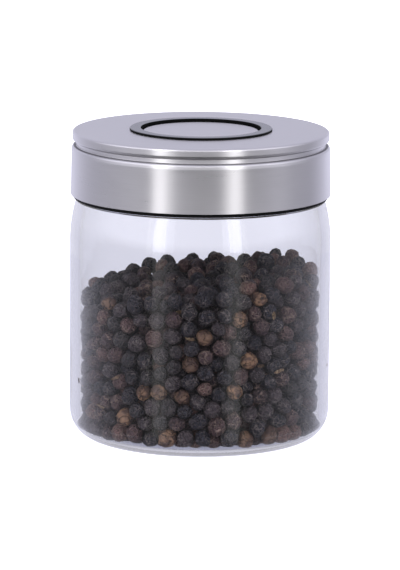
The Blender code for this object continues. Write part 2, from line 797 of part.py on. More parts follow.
def latch_rotor(helpers):
    """Sleeve on the stem; its slanted lugs ride in the slots between the ribs."""
    outline = [
        (rotor_bore, rotor_top),
        (rotor_radius, rotor_top),
        (rotor_radius, rotor_bottom),
        (rotor_bore, rotor_bottom),
    ]
    rotor = lathe("latch_rotor", outline, SMALL_STEPS)
    reach = BARREL_BORE - SLIDE_GAP
    depth = reach - rotor_radius + BITE
    for number, _, _, turn in on_circle(reach, pi / RIB_COUNT, RIB_COUNT):
        place = (reach - depth / 2, 0, rotor_bottom + BITE + LUG_HEIGHT / 2)
        size = (depth, LUG_WIDTH, LUG_HEIGHT)
        lug = block(f"lug_{number}", size, place, turn, RIB_SLOPE, slope_top=True)
        combine(rotor, lug, "UNION", helpers)
    return rotor


def rotor_screw():
    """Pan-headed screw that keeps the rotor on the stem."""
    outline = [
        (0, rotor_screw_bottom + ROTOR_SCREW_LENGTH),
        (ROTOR_SCREW_RADIUS, rotor_screw_bottom + ROTOR_SCREW_LENGTH),
        (ROTOR_SCREW_RADIUS, rotor_screw_bottom + ROTOR_SCREW_HEAD),
        (ROTOR_SCREW_HEAD_RADIUS, rotor_screw_bottom + ROTOR_SCREW_HEAD),
        (ROTOR_SCREW_HEAD_RADIUS, rotor_screw_bottom),
        (0, rotor_screw_bottom),
    ]
    return lathe("rotor_screw", outline, SCREW_STEPS, closed=False)


def spring_points():
    """Points along the coil: a close turn at each end and open turns between."""
    low = spring_bottom + WIRE_RADIUS
    high = spring_top - WIRE_RADIUS
    count = SPRING_TURNS * POINTS_PER_TURN
    open_rise = (high - low - 2 * END_TURN_RISE) / (SPRING_TURNS - 2)
    points = []
    height = low
    for i in range(count + 1):
        points.append(
            (
                SPRING_RADIUS * cos(2 * pi * i / POINTS_PER_TURN),
                SPRING_RADIUS * sin(2 * pi * i / POINTS_PER_TURN),
                height,
            )
        )
        at_end = i < POINTS_PER_TURN or i >= count - POINTS_PER_TURN
        height += (END_TURN_RISE if at_end else open_rise) / POINTS_PER_TURN
    return points


def return_spring():
    """Compression coil of one unbroken wire."""
    points = spring_points()
    gaps = [
        (Vector(points[i]) - Vector(points[k])).length - 2 * WIRE_RADIUS
        for i in range(len(points))
        for k in range(i + POINTS_PER_TURN // 2, len(points))
    ]
    print(f"least gap of the spring to itself: {min(gaps) * 1000:.2f} mm, over {LEAST_GAP * 1000} mm")
    curve = bpy.data.curves.new("return_spring", "CURVE")
    curve.dimensions = "3D"
    curve.bevel_depth = WIRE_RADIUS
    curve.bevel_resolution = 1
    curve.use_fill_caps = True
    wire = curve.splines.new("POLY")
    wire.points.add(len(points) - 1)
    for point, place in zip(wire.points, points):
        point.co = (*place, 1)
    return bpy.data.objects.new("return_spring", curve)


def baked(source):
    """The object again, with its modifiers applied and its round faces shaded smooth."""
    scratch = bpy.context.scene.collection
    if source.name not in scratch.all_objects:
        scratch.objects.link(source)
    bpy.context.view_layer.update()
    mesh = bpy.data.meshes.new_from_object(source.evaluated_get(bpy.context.evaluated_depsgraph_get()))
    if source.type == "CURVE":
        shape = bmesh.new()
        shape.from_mesh(mesh)
        bmesh.ops.remove_doubles(shape, verts=shape.verts, dist=MERGE)
        shape.to_mesh(mesh)
        shape.free()
    mesh.name = source.name
    mesh.shade_smooth()
    mesh.set_sharp_from_angle(angle=SHARP_TURN)
    name = source.name
    bpy.data.objects.remove(source)
    return bpy.data.objects.new(name, mesh)


def group(name, parent, pieces, parts):
    """An empty on the axis that carries the pieces which move together."""
    carrier = bpy.data.objects.new(name, None)
    parts.objects.link(carrier)
    carrier.parent = parent
    for piece, material in pieces:
        if piece.modifiers or piece.type == "CURVE":
            piece = baked(piece)
        parts.objects.link(piece)
        piece.data.materials.clear()
        piece.data.materials.append(material)
        piece.parent = carrier
    return carrier


def main():
    clear_scene()
    parts = new_collection("storage_jar")
    helpers = new_collection("cutters")
    glass = finish("soda_lime_glass", (0.90, 0.92, 0.96), 0.02, transmission=1.0, ior=1.52)
    pepper = finish("black_peppercorns", (0.035, 0.026, 0.021), 0.75)
    steel = finish("brushed_steel", (0.56, 0.55, 0.56), 0.32, metallic=1.0)
    liner = finish("black_polypropylene", (0.012, 0.012, 0.013), 0.40)
    gloss = finish("glossy_black_abs", (0.008, 0.008, 0.009), 0.10)
    silicone = finish("black_silicone", (0.02, 0.02, 0.02), 0.60)
    acetal = finish("white_acetal", (0.75, 0.75, 0.72), 0.45)
    bright = finish("bright_steel", (0.62, 0.61, 0.60), 0.22, metallic=1.0)
    pattern = screw_mesh(helpers)
    base_screws = screws("base_screw", pattern.data, plug_bottom, pillar_circle, PILLAR_TURN)
    cone_screws = screws("cone_screw", pattern.data, cone_bottom, boss_circle, BOSS_TURN)
    jar = group("jar_carrier", None, [(glass_jar(), glass), (peppercorn_fill(), pepper)], parts)
    lid_pieces = [
        (steel_cover(), steel),
        (lid_housing(helpers), liner),
        (button_ring(), gloss),
        (rim_seal(), silicone),
        (gasket(), silicone),
        (base_plate(helpers), liner),
        (latch_barrel(helpers), acetal),
        *((screw, bright) for screw in base_screws),
    ]
    lid = group("lid_carrier", jar, lid_pieces, parts)
    button_pieces = [
        (button_disc(), steel),
        (button_plunger(helpers), liner),
        (expander_cone(helpers), liner),
        (latch_rotor(helpers), acetal),
        (rotor_screw(), bright),
        (return_spring(), bright),
        *((screw, bright) for screw in cone_screws),
    ]
    group("button_carrier", lid, button_pieces, parts)
    print(f"height {ring_top * 1000:.2f} mm, width {2 * (band_radius + HEM_FLARE) * 1000:.2f} mm")
    print(f"neck {neck_radius * 1000:.2f} mm, band {band_radius * 1000:.2f} mm")


main()
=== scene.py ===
"""Dresses the CAD of a squat glass storage jar: peppercorns, brushed steel lid, push button.

Metres, +Z up, with the jar's axis at the origin. The photograph's viewer looks along +Y.
Sizes that repeat the CAD's are read from the frame where it gives them.
"""

from math import asin, ceil, cos, pi, radians, sin, sqrt, tan

import bpy
import numpy as np
from bpy.props import FloatProperty, FloatVectorProperty, IntProperty, PointerProperty
from bpy.types import Operator, Panel, PropertyGroup
from mathutils import Euler, Matrix, Vector


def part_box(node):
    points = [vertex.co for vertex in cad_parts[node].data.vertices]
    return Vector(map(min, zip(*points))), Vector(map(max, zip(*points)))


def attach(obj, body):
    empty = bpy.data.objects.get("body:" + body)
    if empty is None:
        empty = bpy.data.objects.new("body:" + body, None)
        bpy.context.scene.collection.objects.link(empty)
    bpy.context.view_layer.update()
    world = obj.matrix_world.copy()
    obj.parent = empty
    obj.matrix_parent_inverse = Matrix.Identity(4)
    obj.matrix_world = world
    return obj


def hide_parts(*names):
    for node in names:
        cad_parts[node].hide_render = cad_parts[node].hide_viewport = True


bl_info = {
    "name": "Push-Button Storage Jar",
    "version": (1, 0, 0),
    "blender": (4, 5, 0),
    "location": "View3D > Sidebar > Storage Jar",
    "description": "Models and finishes a glass storage jar round its CAD",
    "category": "Object",
}

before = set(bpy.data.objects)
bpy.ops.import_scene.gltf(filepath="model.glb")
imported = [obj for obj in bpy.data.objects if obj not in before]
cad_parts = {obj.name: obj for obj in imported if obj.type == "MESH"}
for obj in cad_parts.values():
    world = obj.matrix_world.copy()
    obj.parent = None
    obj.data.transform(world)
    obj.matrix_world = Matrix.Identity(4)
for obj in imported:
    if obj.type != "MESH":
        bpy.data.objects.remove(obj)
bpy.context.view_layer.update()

GLASS_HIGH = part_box("glass_jar")[1]
COVER_LOW, COVER_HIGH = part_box("steel_cover")
LINER_LOW, LINER_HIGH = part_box("lid_housing")
BEZEL_LOW, BEZEL_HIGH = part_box("button_ring")
DISC_LOW, DISC_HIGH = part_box("button_disc")
PLATE_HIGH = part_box("base_plate")[1]
GASKET_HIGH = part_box("gasket")[1]
WASHER_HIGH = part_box("rim_seal")[1]

# Steps round the axis of a turned piece and of a bar, and fineness of their arcs
WIDE_STEPS = 160
SMALL_STEPS = 32
FINE_TURN = radians(9)
SHOULDER_FACETS = 14
BASE_FACETS = 16
PUNT_FACETS = 8
SMOOTH_ANGLE = radians(38)
MERGE = 0.000002
# Room that is left between pieces
GAP = 0.0003
CORN_GAP = 0.0001
# How far the hem flares out past the band, and depths under the cover's top
HEM_FLARE = 0.00015
LEDGE_DEPTH = 0.0045
SHOULDER_DEPTH = 0.0047


# ---------------------------------------------------------------- colours


def linear(code):
    """An sRGB colour written as six hex digits, as linear red, green and blue."""
    parts = [int(code[i : i + 2], 16) / 255 for i in (0, 2, 4)]
    return [p / 12.92 if p <= 0.04045 else ((p + 0.055) / 1.055) ** 2.4 for p in parts]


def opaque(code):
    return (*linear(code), 1.0)


# ---------------------------------------------------------------- settings


def length(name, text, default):
    return FloatProperty(
        name=name, description=text, default=default, unit="LENGTH", subtype="DISTANCE"
    )


def colour(name, text, code):
    return FloatVectorProperty(
        name=name, description=text, default=linear(code), size=3, subtype="COLOR"
    )


class GlassSettings(PropertyGroup):
    wall: length("Wall", "Thickness of the glass wall", 0.0030)
    floor: length("Floor", "Thickness of the floor over the push-up", 0.0020)
    push_up: length("Push-up", "Height of the hollow under the base", 0.0005)
    body_height: length("Body height", "Height of the straight side", 0.0607)
    shoulder_radius: length("Shoulder radius", "Radius of the shoulder's arc", 0.0450)
    shoulder_height: length("Shoulder height", "Height of the shoulder's arc", 0.0130)
    neck_step: length("Neck step", "Ledge at the foot of the neck", 0.0007)
    base_width: length("Base edge width", "Width of the rounded outer edge of the base", 0.0076)
    base_height: length("Base edge height", "Height of the rounded outer edge of the base", 0.0088)
    floor_corner: length("Floor corner", "Inside radius of the floor's edge", 0.0036)
    rim_rounding: length("Rim rounding", "Radius of the fire-polished rim", 0.0012)
    rest_width: length("Rest width", "Width of the ring that the jar stands on", 0.0030)
    tint: colour("Tint", "Cast of the glass", "f6f7ff")


class PepperSettings(PropertyGroup):
    count: IntProperty(name="Count", description="Number of peppercorns", default=1950, min=10)
    seed: IntProperty(name="Seed", description="Which heap of the many possible ones", default=11)
    level: length("Level", "Height of the heap on the axis", 0.0518)
    tilt: length("Tilt", "How much the heap is higher at the wall on the right", 0.0045)
    size: length("Radius", "Mean radius of a peppercorn", 0.00255)
    spread: length("Spread", "How much the radii differ", 0.00022)
    brown_share: FloatProperty(
        name="Brown share", description="Share of reddish brown peppercorns", default=0.34,
        min=0, max=1, subtype="FACTOR",
    )
    peeled_share: FloatProperty(
        name="Peeled share", description="Share that has lost its dark skin", default=0.03,
        min=0, max=1, subtype="FACTOR",
    )
    flakes: IntProperty(name="Flakes", description="Number of loose flakes of skin", default=32)


class LidSettings(PropertyGroup):
    sheet: length("Steel sheet", "Thickness of the cover's sheet", 0.0004)
    disc_sheet: length("Disc sheet", "Thickness of the button's disc", 0.0005)
    bead_rounding: length("Bead rounding", "Upper radius of the cover's edge", 0.0007)
    groove_inset: length("Groove depth", "How far the groove lies inside the band", 0.00163)
    shoulder_rounding: length("Shoulder rounding", "Radius of the cover's shoulder", 0.0008)
    waist: length("Waist", "How much the band is narrower under the shoulder", 0.00012)
    bezel_lip: length("Bezel lip", "Width of the bezel outside its tube", 0.0019)
    bezel_mouth: length("Bezel mouth", "How much wider the bezel's mouth is than its bore", 0.0003)
    steel: colour("Steel", "Satin stainless steel", "c8c6c8")


class StudioSettings(PropertyGroup):
    distance: length("Camera distance", "From the jar's axis, along the floor", 1.322)
    height: length("Camera height", "Above the floor", 0.2945)
    pitch: FloatProperty(
        name="Pitch", description="Downward tilt of the camera", default=radians(10.62),
        subtype="ANGLE",
    )
    roll: FloatProperty(
        name="Roll", description="Sideways tilt of the camera", default=radians(-0.42),
        subtype="ANGLE",
    )
    lens: FloatProperty(name="Lens", description="Focal length in millimetres", default=276.3)
    lamp_distance: length("Lamp distance", "From the jar to the strip lamps", 1.2)
    strip: FloatProperty(
        name="Strip lamps", description="Brightness of the strip lamps", default=2.7
    )
    glow: FloatProperty(
        name="Floor glow", description="Light that the floor itself gives", default=0.9
    )


class JarSettings(PropertyGroup):
    glass: PointerProperty(type=GlassSettings)
    pepper: PointerProperty(type=PepperSettings)
    lid: PointerProperty(type=LidSettings)
    studio: PointerProperty(type=StudioSettings)


# ---------------------------------------------------------------- modelling


def start_clean():
    """Leaves nothing selected, because an operator acts on all that is."""
    if bpy.context.mode != "OBJECT":
        bpy.ops.object.mode_set(mode="OBJECT")
    bpy.ops.object.select_all(action="DESELECT")


def take(piece):
    """Makes a piece the only one that operators act on."""
    start_clean()
    piece.select_set(True)
    bpy.context.view_layer.objects.active = piece


def edit(piece):
    take(piece)
    bpy.ops.object.mode_set(mode="EDIT")
    bpy.ops.mesh.select_all(action="SELECT")


def settle_place(piece):
    """Puts the piece's place, turn and size into its mesh, so that its object is at the origin."""
    take(piece)
    bpy.ops.object.transform_apply(location=True, rotation=True, scale=True)


def apply_modifiers(piece):
    take(piece)
    for modifier in list(piece.modifiers):
        bpy.ops.object.modifier_apply(modifier=modifier.name)


def smooth(piece, angle=SMOOTH_ANGLE):
    take(piece)
    bpy.ops.object.shade_smooth_by_angle(angle=angle)


def smooth_by_area(piece):
    """Smooths a piece so that its wide faces stay flat and only its fillets look round."""
    smooth(piece)
    weighted = piece.modifiers.new("Wide faces", "WEIGHTED_NORMAL")
    weighted.keep_sharp = True
    apply_modifiers(piece)


def rounded(corners):
    """The outline through corners (radius, height, fillet), each fillet drawn as an arc."""
    points = []
    for i, (radius, height, fillet) in enumerate(corners):
        here = Vector((radius, height))
        if not fillet:
            points.append((radius, height))
            continue
        before = Vector(corners[i - 1][:2]) - here
        after = Vector(corners[(i + 1) % len(corners)][:2]) - here
        half = before.angle(after) / 2
        reach = min(fillet / tan(half), before.length / 2, after.length / 2)
        centre = here + (before.normalized() + after.normalized()).normalized() * reach / cos(half)
        start = here + before.normalized() * reach - centre
        turn = start.angle_signed(here + after.normalized() * reach - centre)
        facets = max(1, ceil(abs(turn) / FINE_TURN))
        for k in range(facets + 1):
            angle = -turn * k / facets
            points.append(
                (
                    centre.x + start.x * cos(angle) - start.y * sin(angle),
                    centre.y + start.x * sin(angle) + start.y * cos(angle),
                )
            )
    return points


def turned(name, outline, steps=WIDE_STEPS):
    """A piece turned round the axis: one ring of edges, drawn out from point to point.

    An outline that starts or ends on the axis gets a centre there. One that comes back to its
    first point closes on itself.
    """
    start_clean()
    on_axis = outline[0][0] == 0
    path = outline[1:] if on_axis else outline
    radius, height = path[0]
    fill = "TRIFAN" if on_axis else "NOTHING"
    bpy.ops.mesh.primitive_circle_add(
        vertices=steps, radius=radius, fill_type=fill, location=(0, 0, height)
    )
    piece = bpy.context.object
    piece.name = piece.data.name = name
    settle_place(piece)
    edit(piece)
    if on_axis:
        bpy.ops.mesh.region_to_loop()
    for next_radius, next_height in path[1:]:
        rise = {"value": (0, 0, next_height - height), "orient_type": "GLOBAL"}
        bpy.ops.mesh.extrude_region_move(TRANSFORM_OT_translate=rise)
        if next_radius == 0:
            bpy.ops.mesh.merge(type="CENTER")
            break
        growth = next_radius / radius
        bpy.ops.transform.resize(value=(growth, growth, 1), center_override=(0, 0, next_height))
        radius, height = next_radius, next_height
    bpy.ops.mesh.select_all(action="SELECT")
    bpy.ops.mesh.remove_doubles(threshold=MERGE)
    bpy.ops.mesh.normals_make_consistent(inside=False)
    bpy.ops.object.mode_set(mode="OBJECT")
    return piece


def sheet_metal(piece, thickness):
    """Gives a turned skin its thickness, inwards."""
    wall = piece.modifiers.new("Sheet", "SOLIDIFY")
    wall.thickness = thickness
    wall.offset = -1
    wall.use_even_offset = True
    apply_modifiers(piece)


def round_bar(name, radius, low, high, x, y):
    start_clean()
    bpy.ops.mesh.primitive_cylinder_add(
        vertices=SMALL_STEPS, radius=radius, depth=high - low, location=(x, y, (low + high) / 2)
    )
    bar = bpy.context.object
    bar.name = bar.data.name = name
    settle_place(bar)
    return bar


def combine(target, tools, operation):
    """Joins the tools to the target or cuts them away, and deletes them."""
    for tool in tools:
        boolean = target.modifiers.new(tool.name, "BOOLEAN")
        boolean.operation = operation
        boolean.solver = "EXACT"
        boolean.object = tool
    apply_modifiers(target)
    for tool in tools:
        bpy.data.objects.remove(tool)


def join(name, parts):
    """One object from many, each of which keeps its own vertices."""
    start_clean()
    for part in parts:
        part.select_set(True)
    bpy.context.view_layer.objects.active = parts[0]
    bpy.ops.object.join()
    whole = bpy.context.object
    whole.name = whole.data.name = name
    return whole


def hand_over(piece, material, body, nodes):
    """Finishes a piece, hangs it on its CAD body and hides the CAD nodes that it stands for."""
    piece.data.materials.clear()
    piece.data.materials.append(material)
    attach(piece, body)
    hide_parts(*nodes)


# ---------------------------------------------------------------- materials

# Sockets are named, or numbered: a Mix has its share at 0 and its colours at 6 and 7, and a
# Map Range its value at 0, the range that it reads at 1 and 2 and the one it gives at 3 and 4
MATH, MIX, RANGE = "ShaderNodeMath", "ShaderNodeMix", "ShaderNodeMapRange"
PLACE, NOISE, RAMP, BUMP = (
    "ShaderNodeTexCoord", "ShaderNodeTexNoise", "ShaderNodeValToRGB", "ShaderNodeBump"
)
# Share of what the glass mirrors inside that goes straight on, as light led round in the base
LED_SHARE = 0.5
# Cast of what is led through the glass
LED_CAST = (0.80, 0.79, 0.69, 1)


def feed(node, settings):
    """Sets a node's properties, sockets and ramp stops; a value that is a socket is linked."""
    for name, value in settings.items():
        if name == "stops":
            points = node.color_ramp.elements
            points[0].position, points[0].color = value[0][0], (*value[0][1], 1)
            points[1].position, points[1].color = value[-1][0], (*value[-1][1], 1)
            for place, shade in value[1:-1]:
                points.new(place).color = (*shade, 1)
        elif not isinstance(name, int) and name not in node.inputs:
            setattr(node, name, value)
        elif isinstance(value, bpy.types.NodeSocket):
            node.id_data.links.new(value, node.inputs[name])
        else:
            node.inputs[name].default_value = value


def add(tree, kind, settings, out=0):
    """Adds one node with its settings and links, and returns one of its outputs."""
    node = tree.nodes.new(kind)
    feed(node, settings)
    return node.outputs[out]


def blank(name):
    """A new material, with its tree, its Principled shader and its Object coordinates."""
    material = bpy.data.materials.new(name)
    material.use_nodes = True
    tree = material.node_tree
    return material, tree, tree.nodes["Principled BSDF"], add(tree, PLACE, {}, "Object")


def soda_lime_glass(tint):
    """Blown soda-lime glass, fire-polished: clear, with a slow waviness of the wall.

    Rays from the lamps pass straight through, so that they light the peppercorns.
    """
    material, tree, shader, spot = blank("soda_lime_glass")
    waves = add(tree, NOISE, {"Vector": spot, "Scale": 1 / 0.016, "Detail": 1.0})
    feed(shader, {
        "Base Color": (*tint, 1), "Roughness": 0.0, "IOR": 1.52, "Transmission Weight": 1.0,
        "Normal": add(tree, BUMP, {"Height": waves, "Distance": 0.00012, "Strength": 0.6}),
    })
    rays = add(tree, "ShaderNodeLightPath", {}).node.outputs
    lamp_ray = rays["Is Shadow Ray"]
    lit = (*[0.9 * c for c in tint], 1)
    passed = add(tree, MIX, {"data_type": "RGBA", 0: lamp_ray, 6: LED_CAST, 7: lit}, 2)
    clear = add(tree, "ShaderNodeBsdfTransparent", {"Color": passed})
    led = add(tree, MATH, {"operation": "MULTIPLY", 0: rays["Glossy Depth"], 1: LED_SHARE})
    straight = add(tree, MATH, {"operation": "MAXIMUM", 0: lamp_ray, 1: led})
    mixed = add(tree, "ShaderNodeMixShader", {0: straight, 1: shader.outputs[0], 2: clear})
    feed(tree.nodes["Material Output"], {"Surface": mixed})
    return material


def even_stops(codes):
    """Ramp stops spread evenly over sRGB colours."""
    return [(i / (len(codes) - 1), linear(code)) for i, code in enumerate(codes)]


def wandering(tree, spot, grain, reach):
    """Object coordinates pushed about by noise, so that a pattern on them runs crooked."""
    wander = add(tree, NOISE, {"Vector": spot, "Scale": 1 / grain}, 1)
    settings = {"operation": "MULTIPLY_ADD", 0: wander, 1: (reach, reach, reach), 2: spot}
    return add(tree, "ShaderNodeVectorMath", settings)


def creases(tree, spot, grain, width):
    """Thin crooked lines, 1 on a line and 0 off it, that wind between blotches of noise."""
    level = add(tree, NOISE, {"Vector": spot, "Scale": 1 / grain, "Detail": 1.0})
    off = add(tree, MATH, {"operation": "SUBTRACT", 0: level, 1: 0.5})
    off = add(tree, MATH, {"operation": "ABSOLUTE", 0: off})
    return add(tree, RANGE, {0: off, 1: 0.0, 2: width, 3: 1.0, 4: 0.0})


def peppercorn_skin(name, codes, dust_code, ridge_spacing, depth):
    """Sun-dried pepper fruit: a matt skin shrunk into a net of ridges, some with pale wrinkles."""
    material, tree, shader, spot = blank(name)
    crooked = wandering(tree, spot, 0.0022, 0.0010)
    net = {"feature": "DISTANCE_TO_EDGE", "Vector": crooked, "Scale": 1 / ridge_spacing}
    edge = add(tree, "ShaderNodeTexVoronoi", net)
    ridge = add(tree, RANGE, {0: edge, 1: 0.0, 2: 0.26, 3: 1.0, 4: 0.0})
    own = add(tree, "ShaderNodeAttribute", {"attribute_name": "tone"}, "Fac")
    skin = add(tree, RAMP, {"stops": even_stops(codes), "Fac": own})
    area = add(tree, NOISE, {"Vector": spot, "Scale": 1 / 0.0065, "Detail": 1.0})
    wrinkled = add(tree, RANGE, {0: area, 1: 0.46, 2: 0.54, 3: 0.0, 4: 1.0})
    lines = creases(tree, crooked, 0.0017, 0.06)
    wrinkles = add(tree, MATH, {"operation": "MULTIPLY", 0: lines, 1: wrinkled})
    powder = add(tree, NOISE, {"Vector": spot, "Scale": 1 / 0.0030})
    worn = add(tree, MATH, {"operation": "MULTIPLY", 0: ridge, 1: powder})
    dust = add(tree, RANGE, {0: worn, 1: 0.1, 2: 0.9, 3: 0.0, 4: 0.5})
    pale = opaque(dust_code)
    dusty = add(tree, MIX, {"data_type": "RGBA", 0: dust, 6: skin, 7: pale}, 2)
    mark = add(tree, RANGE, {0: wrinkles, 1: 0.0, 2: 1.0, 3: 0.0, 4: 0.9})
    marked = add(tree, MIX, {"data_type": "RGBA", 0: mark, 6: dusty, 7: pale}, 2)
    spots = {"Vector": spot, "Scale": 1 / 0.0014, "Detail": 3.0, "Roughness": 0.7}
    mottle = add(tree, RANGE, {0: add(tree, NOISE, spots), 1: 0.35, 2: 0.7, 3: 0.0, 4: 0.55})
    deep = (*[0.4 * c for c in linear(codes[0])], 1)
    raised = add(tree, MATH, {"operation": "ADD", 0: ridge, 1: wrinkles})
    feed(shader, {
        "Base Color": add(tree, MIX, {"data_type": "RGBA", 0: mottle, 6: marked, 7: deep}, 2),
        "Roughness": add(tree, RANGE, {0: ridge, 1: 0.0, 2: 1.0, 3: 0.55, 4: 0.75}),
        "IOR": 1.42,
        "Normal": add(tree, BUMP, {"Height": raised, "Distance": depth, "Strength": 1.0}),
    })
    return material


def peeled_core(codes):
    """Pepper core under split skin: a tan seed with brown patches and dark crooked cracks."""
    material, tree, shader, spot = blank("peeled_pepper_core")
    crooked = wandering(tree, spot, 0.0018, 0.0012)
    cracks = creases(tree, crooked, 0.0020, 0.05)
    fine = creases(tree, crooked, 0.0009, 0.06)
    own = add(tree, "ShaderNodeAttribute", {"attribute_name": "tone"}, "Fac")
    seed = add(tree, RAMP, {"stops": even_stops(codes), "Fac": own})
    blots = add(tree, NOISE, {"Vector": spot, "Scale": 1 / 0.0024})
    layers = (
        (add(tree, RANGE, {0: blots, 1: 0.45, 2: 0.58, 3: 0.0, 4: 0.85}), "4a3630"),
        (add(tree, RANGE, {0: fine, 1: 0.0, 2: 1.0, 3: 0.0, 4: 0.35}), "3a2a22"),
        (cracks, "231813"),
    )
    for share, code in layers:
        seed = add(tree, MIX, {"data_type": "RGBA", 0: share, 6: seed, 7: opaque(code)}, 2)
    sunk = add(tree, RANGE, {0: cracks, 1: 0.0, 2: 1.0, 3: 1.0, 4: 0.0})
    feed(shader, {
        "Base Color": seed, "Roughness": 0.62, "IOR": 1.42,
        "Normal": add(tree, BUMP, {"Height": sunk, "Distance": 0.00025, "Strength": 1.0}),
    })
    return material


def satin_steel(name, colour_, streak, strength, anisotropy, straight=False):
    """Brushed stainless steel: fine lines, drawn as 0.3 mm streaks, that smear each reflection.

    streak is the coordinates' stretch on each axis, slow along the brush and quick across it.
    The brush runs round the axis, or straight along X.
    """
    material, tree, shader, spot = blank(name)
    drawn = add(tree, "ShaderNodeMapping", {"Vector": spot, "Scale": streak})
    brush = {"Vector": drawn, "Scale": 1 / 0.00030, "Detail": 3.0, "Roughness": 0.65}
    lines = add(tree, NOISE, brush)
    smudge = add(tree, NOISE, {"Vector": spot, "Scale": 1 / 0.018, "Detail": 3.0})
    pale = (*[min(1.0, 1.04 * c) for c in colour_], 1)
    deep = (*[0.95 * c for c in colour_], 1)
    low, high = strength - 0.02, strength + 0.02
    grain = add(tree, RANGE, {0: lines, 1: 0.3, 2: 0.7, 3: low, 4: high})
    handled = add(tree, RANGE, {0: smudge, 1: 0.4, 2: 0.65, 3: -0.01, 4: 0.015})
    if straight:
        tangent = add(tree, "ShaderNodeCombineXYZ", {"X": 1.0})
    else:
        tangent = add(tree, "ShaderNodeTangent", {"direction_type": "RADIAL", "axis": "Z"})
    feed(shader, {
        "Metallic": 1.0, "Anisotropic": anisotropy, "Anisotropic Rotation": 0.25,
        "Base Color": add(tree, MIX, {"data_type": "RGBA", 0: lines, 6: deep, 7: pale}, 2),
        "Roughness": add(tree, MATH, {"operation": "ADD", 0: grain, 1: handled}),
        "Normal": add(tree, BUMP, {"Height": lines, "Distance": 0.000003, "Strength": 0.15}),
        "Tangent": tangent,
    })
    return material


def moulded(name, code, roughness, grain, depth, ior=1.49):
    """Injection-moulded plastic or rubber: one colour, with the faint texture of its mould."""
    material, tree, shader, spot = blank(name)
    texture = add(tree, NOISE, {"Vector": spot, "Scale": 1 / grain, "Detail": 3.0})
    cloud = add(tree, NOISE, {"Vector": spot, "Scale": 1 / 0.02})
    dark, pale = opaque(code), (*[min(1.0, 1.35 * c + 0.002) for c in linear(code)], 1)
    low, high = roughness * 0.88, roughness * 1.12
    feed(shader, {
        "Base Color": add(tree, MIX, {"data_type": "RGBA", 0: cloud, 6: dark, 7: pale}, 2),
        "Roughness": add(tree, RANGE, {0: texture, 1: 0.3, 2: 0.7, 3: low, 4: high}),
        "IOR": ior,
        "Normal": add(tree, BUMP, {"Height": texture, "Distance": depth, "Strength": 0.5}),
    })
    return material


def bright_wire():
    """Drawn stainless wire and machine screws: bright, with fine lengthwise drawing marks."""
    material, tree, shader, spot = blank("drawn_stainless_steel")
    marks = add(tree, NOISE, {"Vector": spot, "Scale": 1 / 0.0004, "Detail": 3.0})
    deep, pale = opaque("b9b7b4"), opaque("dedcd8")
    feed(shader, {
        "Metallic": 1.0,
        "Base Color": add(tree, MIX, {"data_type": "RGBA", 0: marks, 6: deep, 7: pale}, 2),
        "Roughness": add(tree, RANGE, {0: marks, 1: 0.3, 2: 0.7, 3: 0.16, 4: 0.30}),
    })
    return material


def seamless_paper(glow):
    """White background paper under a strong lamp: nearly white, with only soft shadows."""
    material, tree, shader, spot = blank("seamless_paper")
    fibre = add(tree, NOISE, {"Vector": spot, "Scale": 1 / 0.002, "Detail": 3.0})
    deep, pale = opaque("f1f1f3"), opaque("f8f8f9")
    feed(shader, {
        "Base Color": add(tree, MIX, {"data_type": "RGBA", 0: fibre, 6: deep, 7: pale}, 2),
        "Roughness": 0.9, "Emission Color": (1, 1, 1, 1), "Emission Strength": glow,
    })
    return material


# ---------------------------------------------------------------- glass jar


def arc(sweep, steps):
    """Points of an arc of radius 1 that starts level."""
    return [(cos(sweep * k / steps), sin(sweep * k / steps)) for k in range(steps + 1)]


def shoulder(radius, sizes, top):
    """Points down an arc concentric with the jar's shoulder, from a height to the straight body."""
    centre = GLASS_HIGH.x - sizes.shoulder_radius
    sweep = asin((top - sizes.body_height) / radius)
    steps = reversed(arc(sweep, SHOULDER_FACETS))
    return [(centre + radius * x, sizes.body_height + radius * y) for x, y in steps]


def neck_sizes(sizes):
    """Outer radius of the neck, its bore and the height of its foot."""
    drop = sizes.shoulder_radius - sqrt(sizes.shoulder_radius**2 - sizes.shoulder_height**2)
    outer = GLASS_HIGH.x - drop - sizes.neck_step
    return outer, outer - sizes.wall, sizes.body_height + sizes.shoulder_height


class STORAGEJAR_OT_glass(Operator):
    """Turns the glass jar: rounded base, straight side, soft shoulder and plain neck"""

    bl_idname = "storage_jar.glass"
    bl_label = "Glass Jar"

    def execute(self, context):
        sizes = context.scene.storage_jar.glass
        neck, bore, foot = neck_sizes(sizes)
        inside = GLASS_HIGH.x - sizes.wall
        floor = sizes.push_up + sizes.floor
        inner_arc = sizes.shoulder_radius - sizes.wall
        arc_centre = GLASS_HIGH.x - sizes.shoulder_radius
        meets_bore = sizes.body_height + sqrt(inner_arc**2 - (bore - arc_centre) ** 2)
        rest_in = GLASS_HIGH.x - sizes.base_width - sizes.rest_width
        cavity = rounded(
            [(0, floor, 0), (inside, floor, sizes.floor_corner), (inside, sizes.body_height, 0)]
        )
        cavity += reversed(shoulder(inner_arc, sizes, meets_bore)[:-1])
        outer = shoulder(sizes.shoulder_radius, sizes, foot)
        rim = rounded([
            (bore, foot, 0),
            (bore, GLASS_HIGH.z, sizes.rim_rounding),
            (neck, GLASS_HIGH.z, sizes.rim_rounding),
            (neck, foot, 0.0004),
            (*outer[0], 0.0004),
            (*outer[1], 0),
        ])[1:-1]
        base = [
            (GLASS_HIGH.x - sizes.base_width * (1 - x), sizes.base_height * (1 - y))
            for x, y in arc(pi / 2, BASE_FACETS)
        ]
        base.append((rest_in, 0))
        hollow = [(rest_in * x, sizes.push_up * y) for x, y in arc(pi / 2, PUNT_FACETS)[1:-1]]
        jar = turned("jar_glass", cavity + rim + outer[1:] + base + hollow + [(0, sizes.push_up)])
        smooth(jar)
        hand_over(jar, soda_lime_glass(sizes.tint), "jar", ["glass_jar"])
        return {"FINISHED"}


# ---------------------------------------------------------------- peppercorns

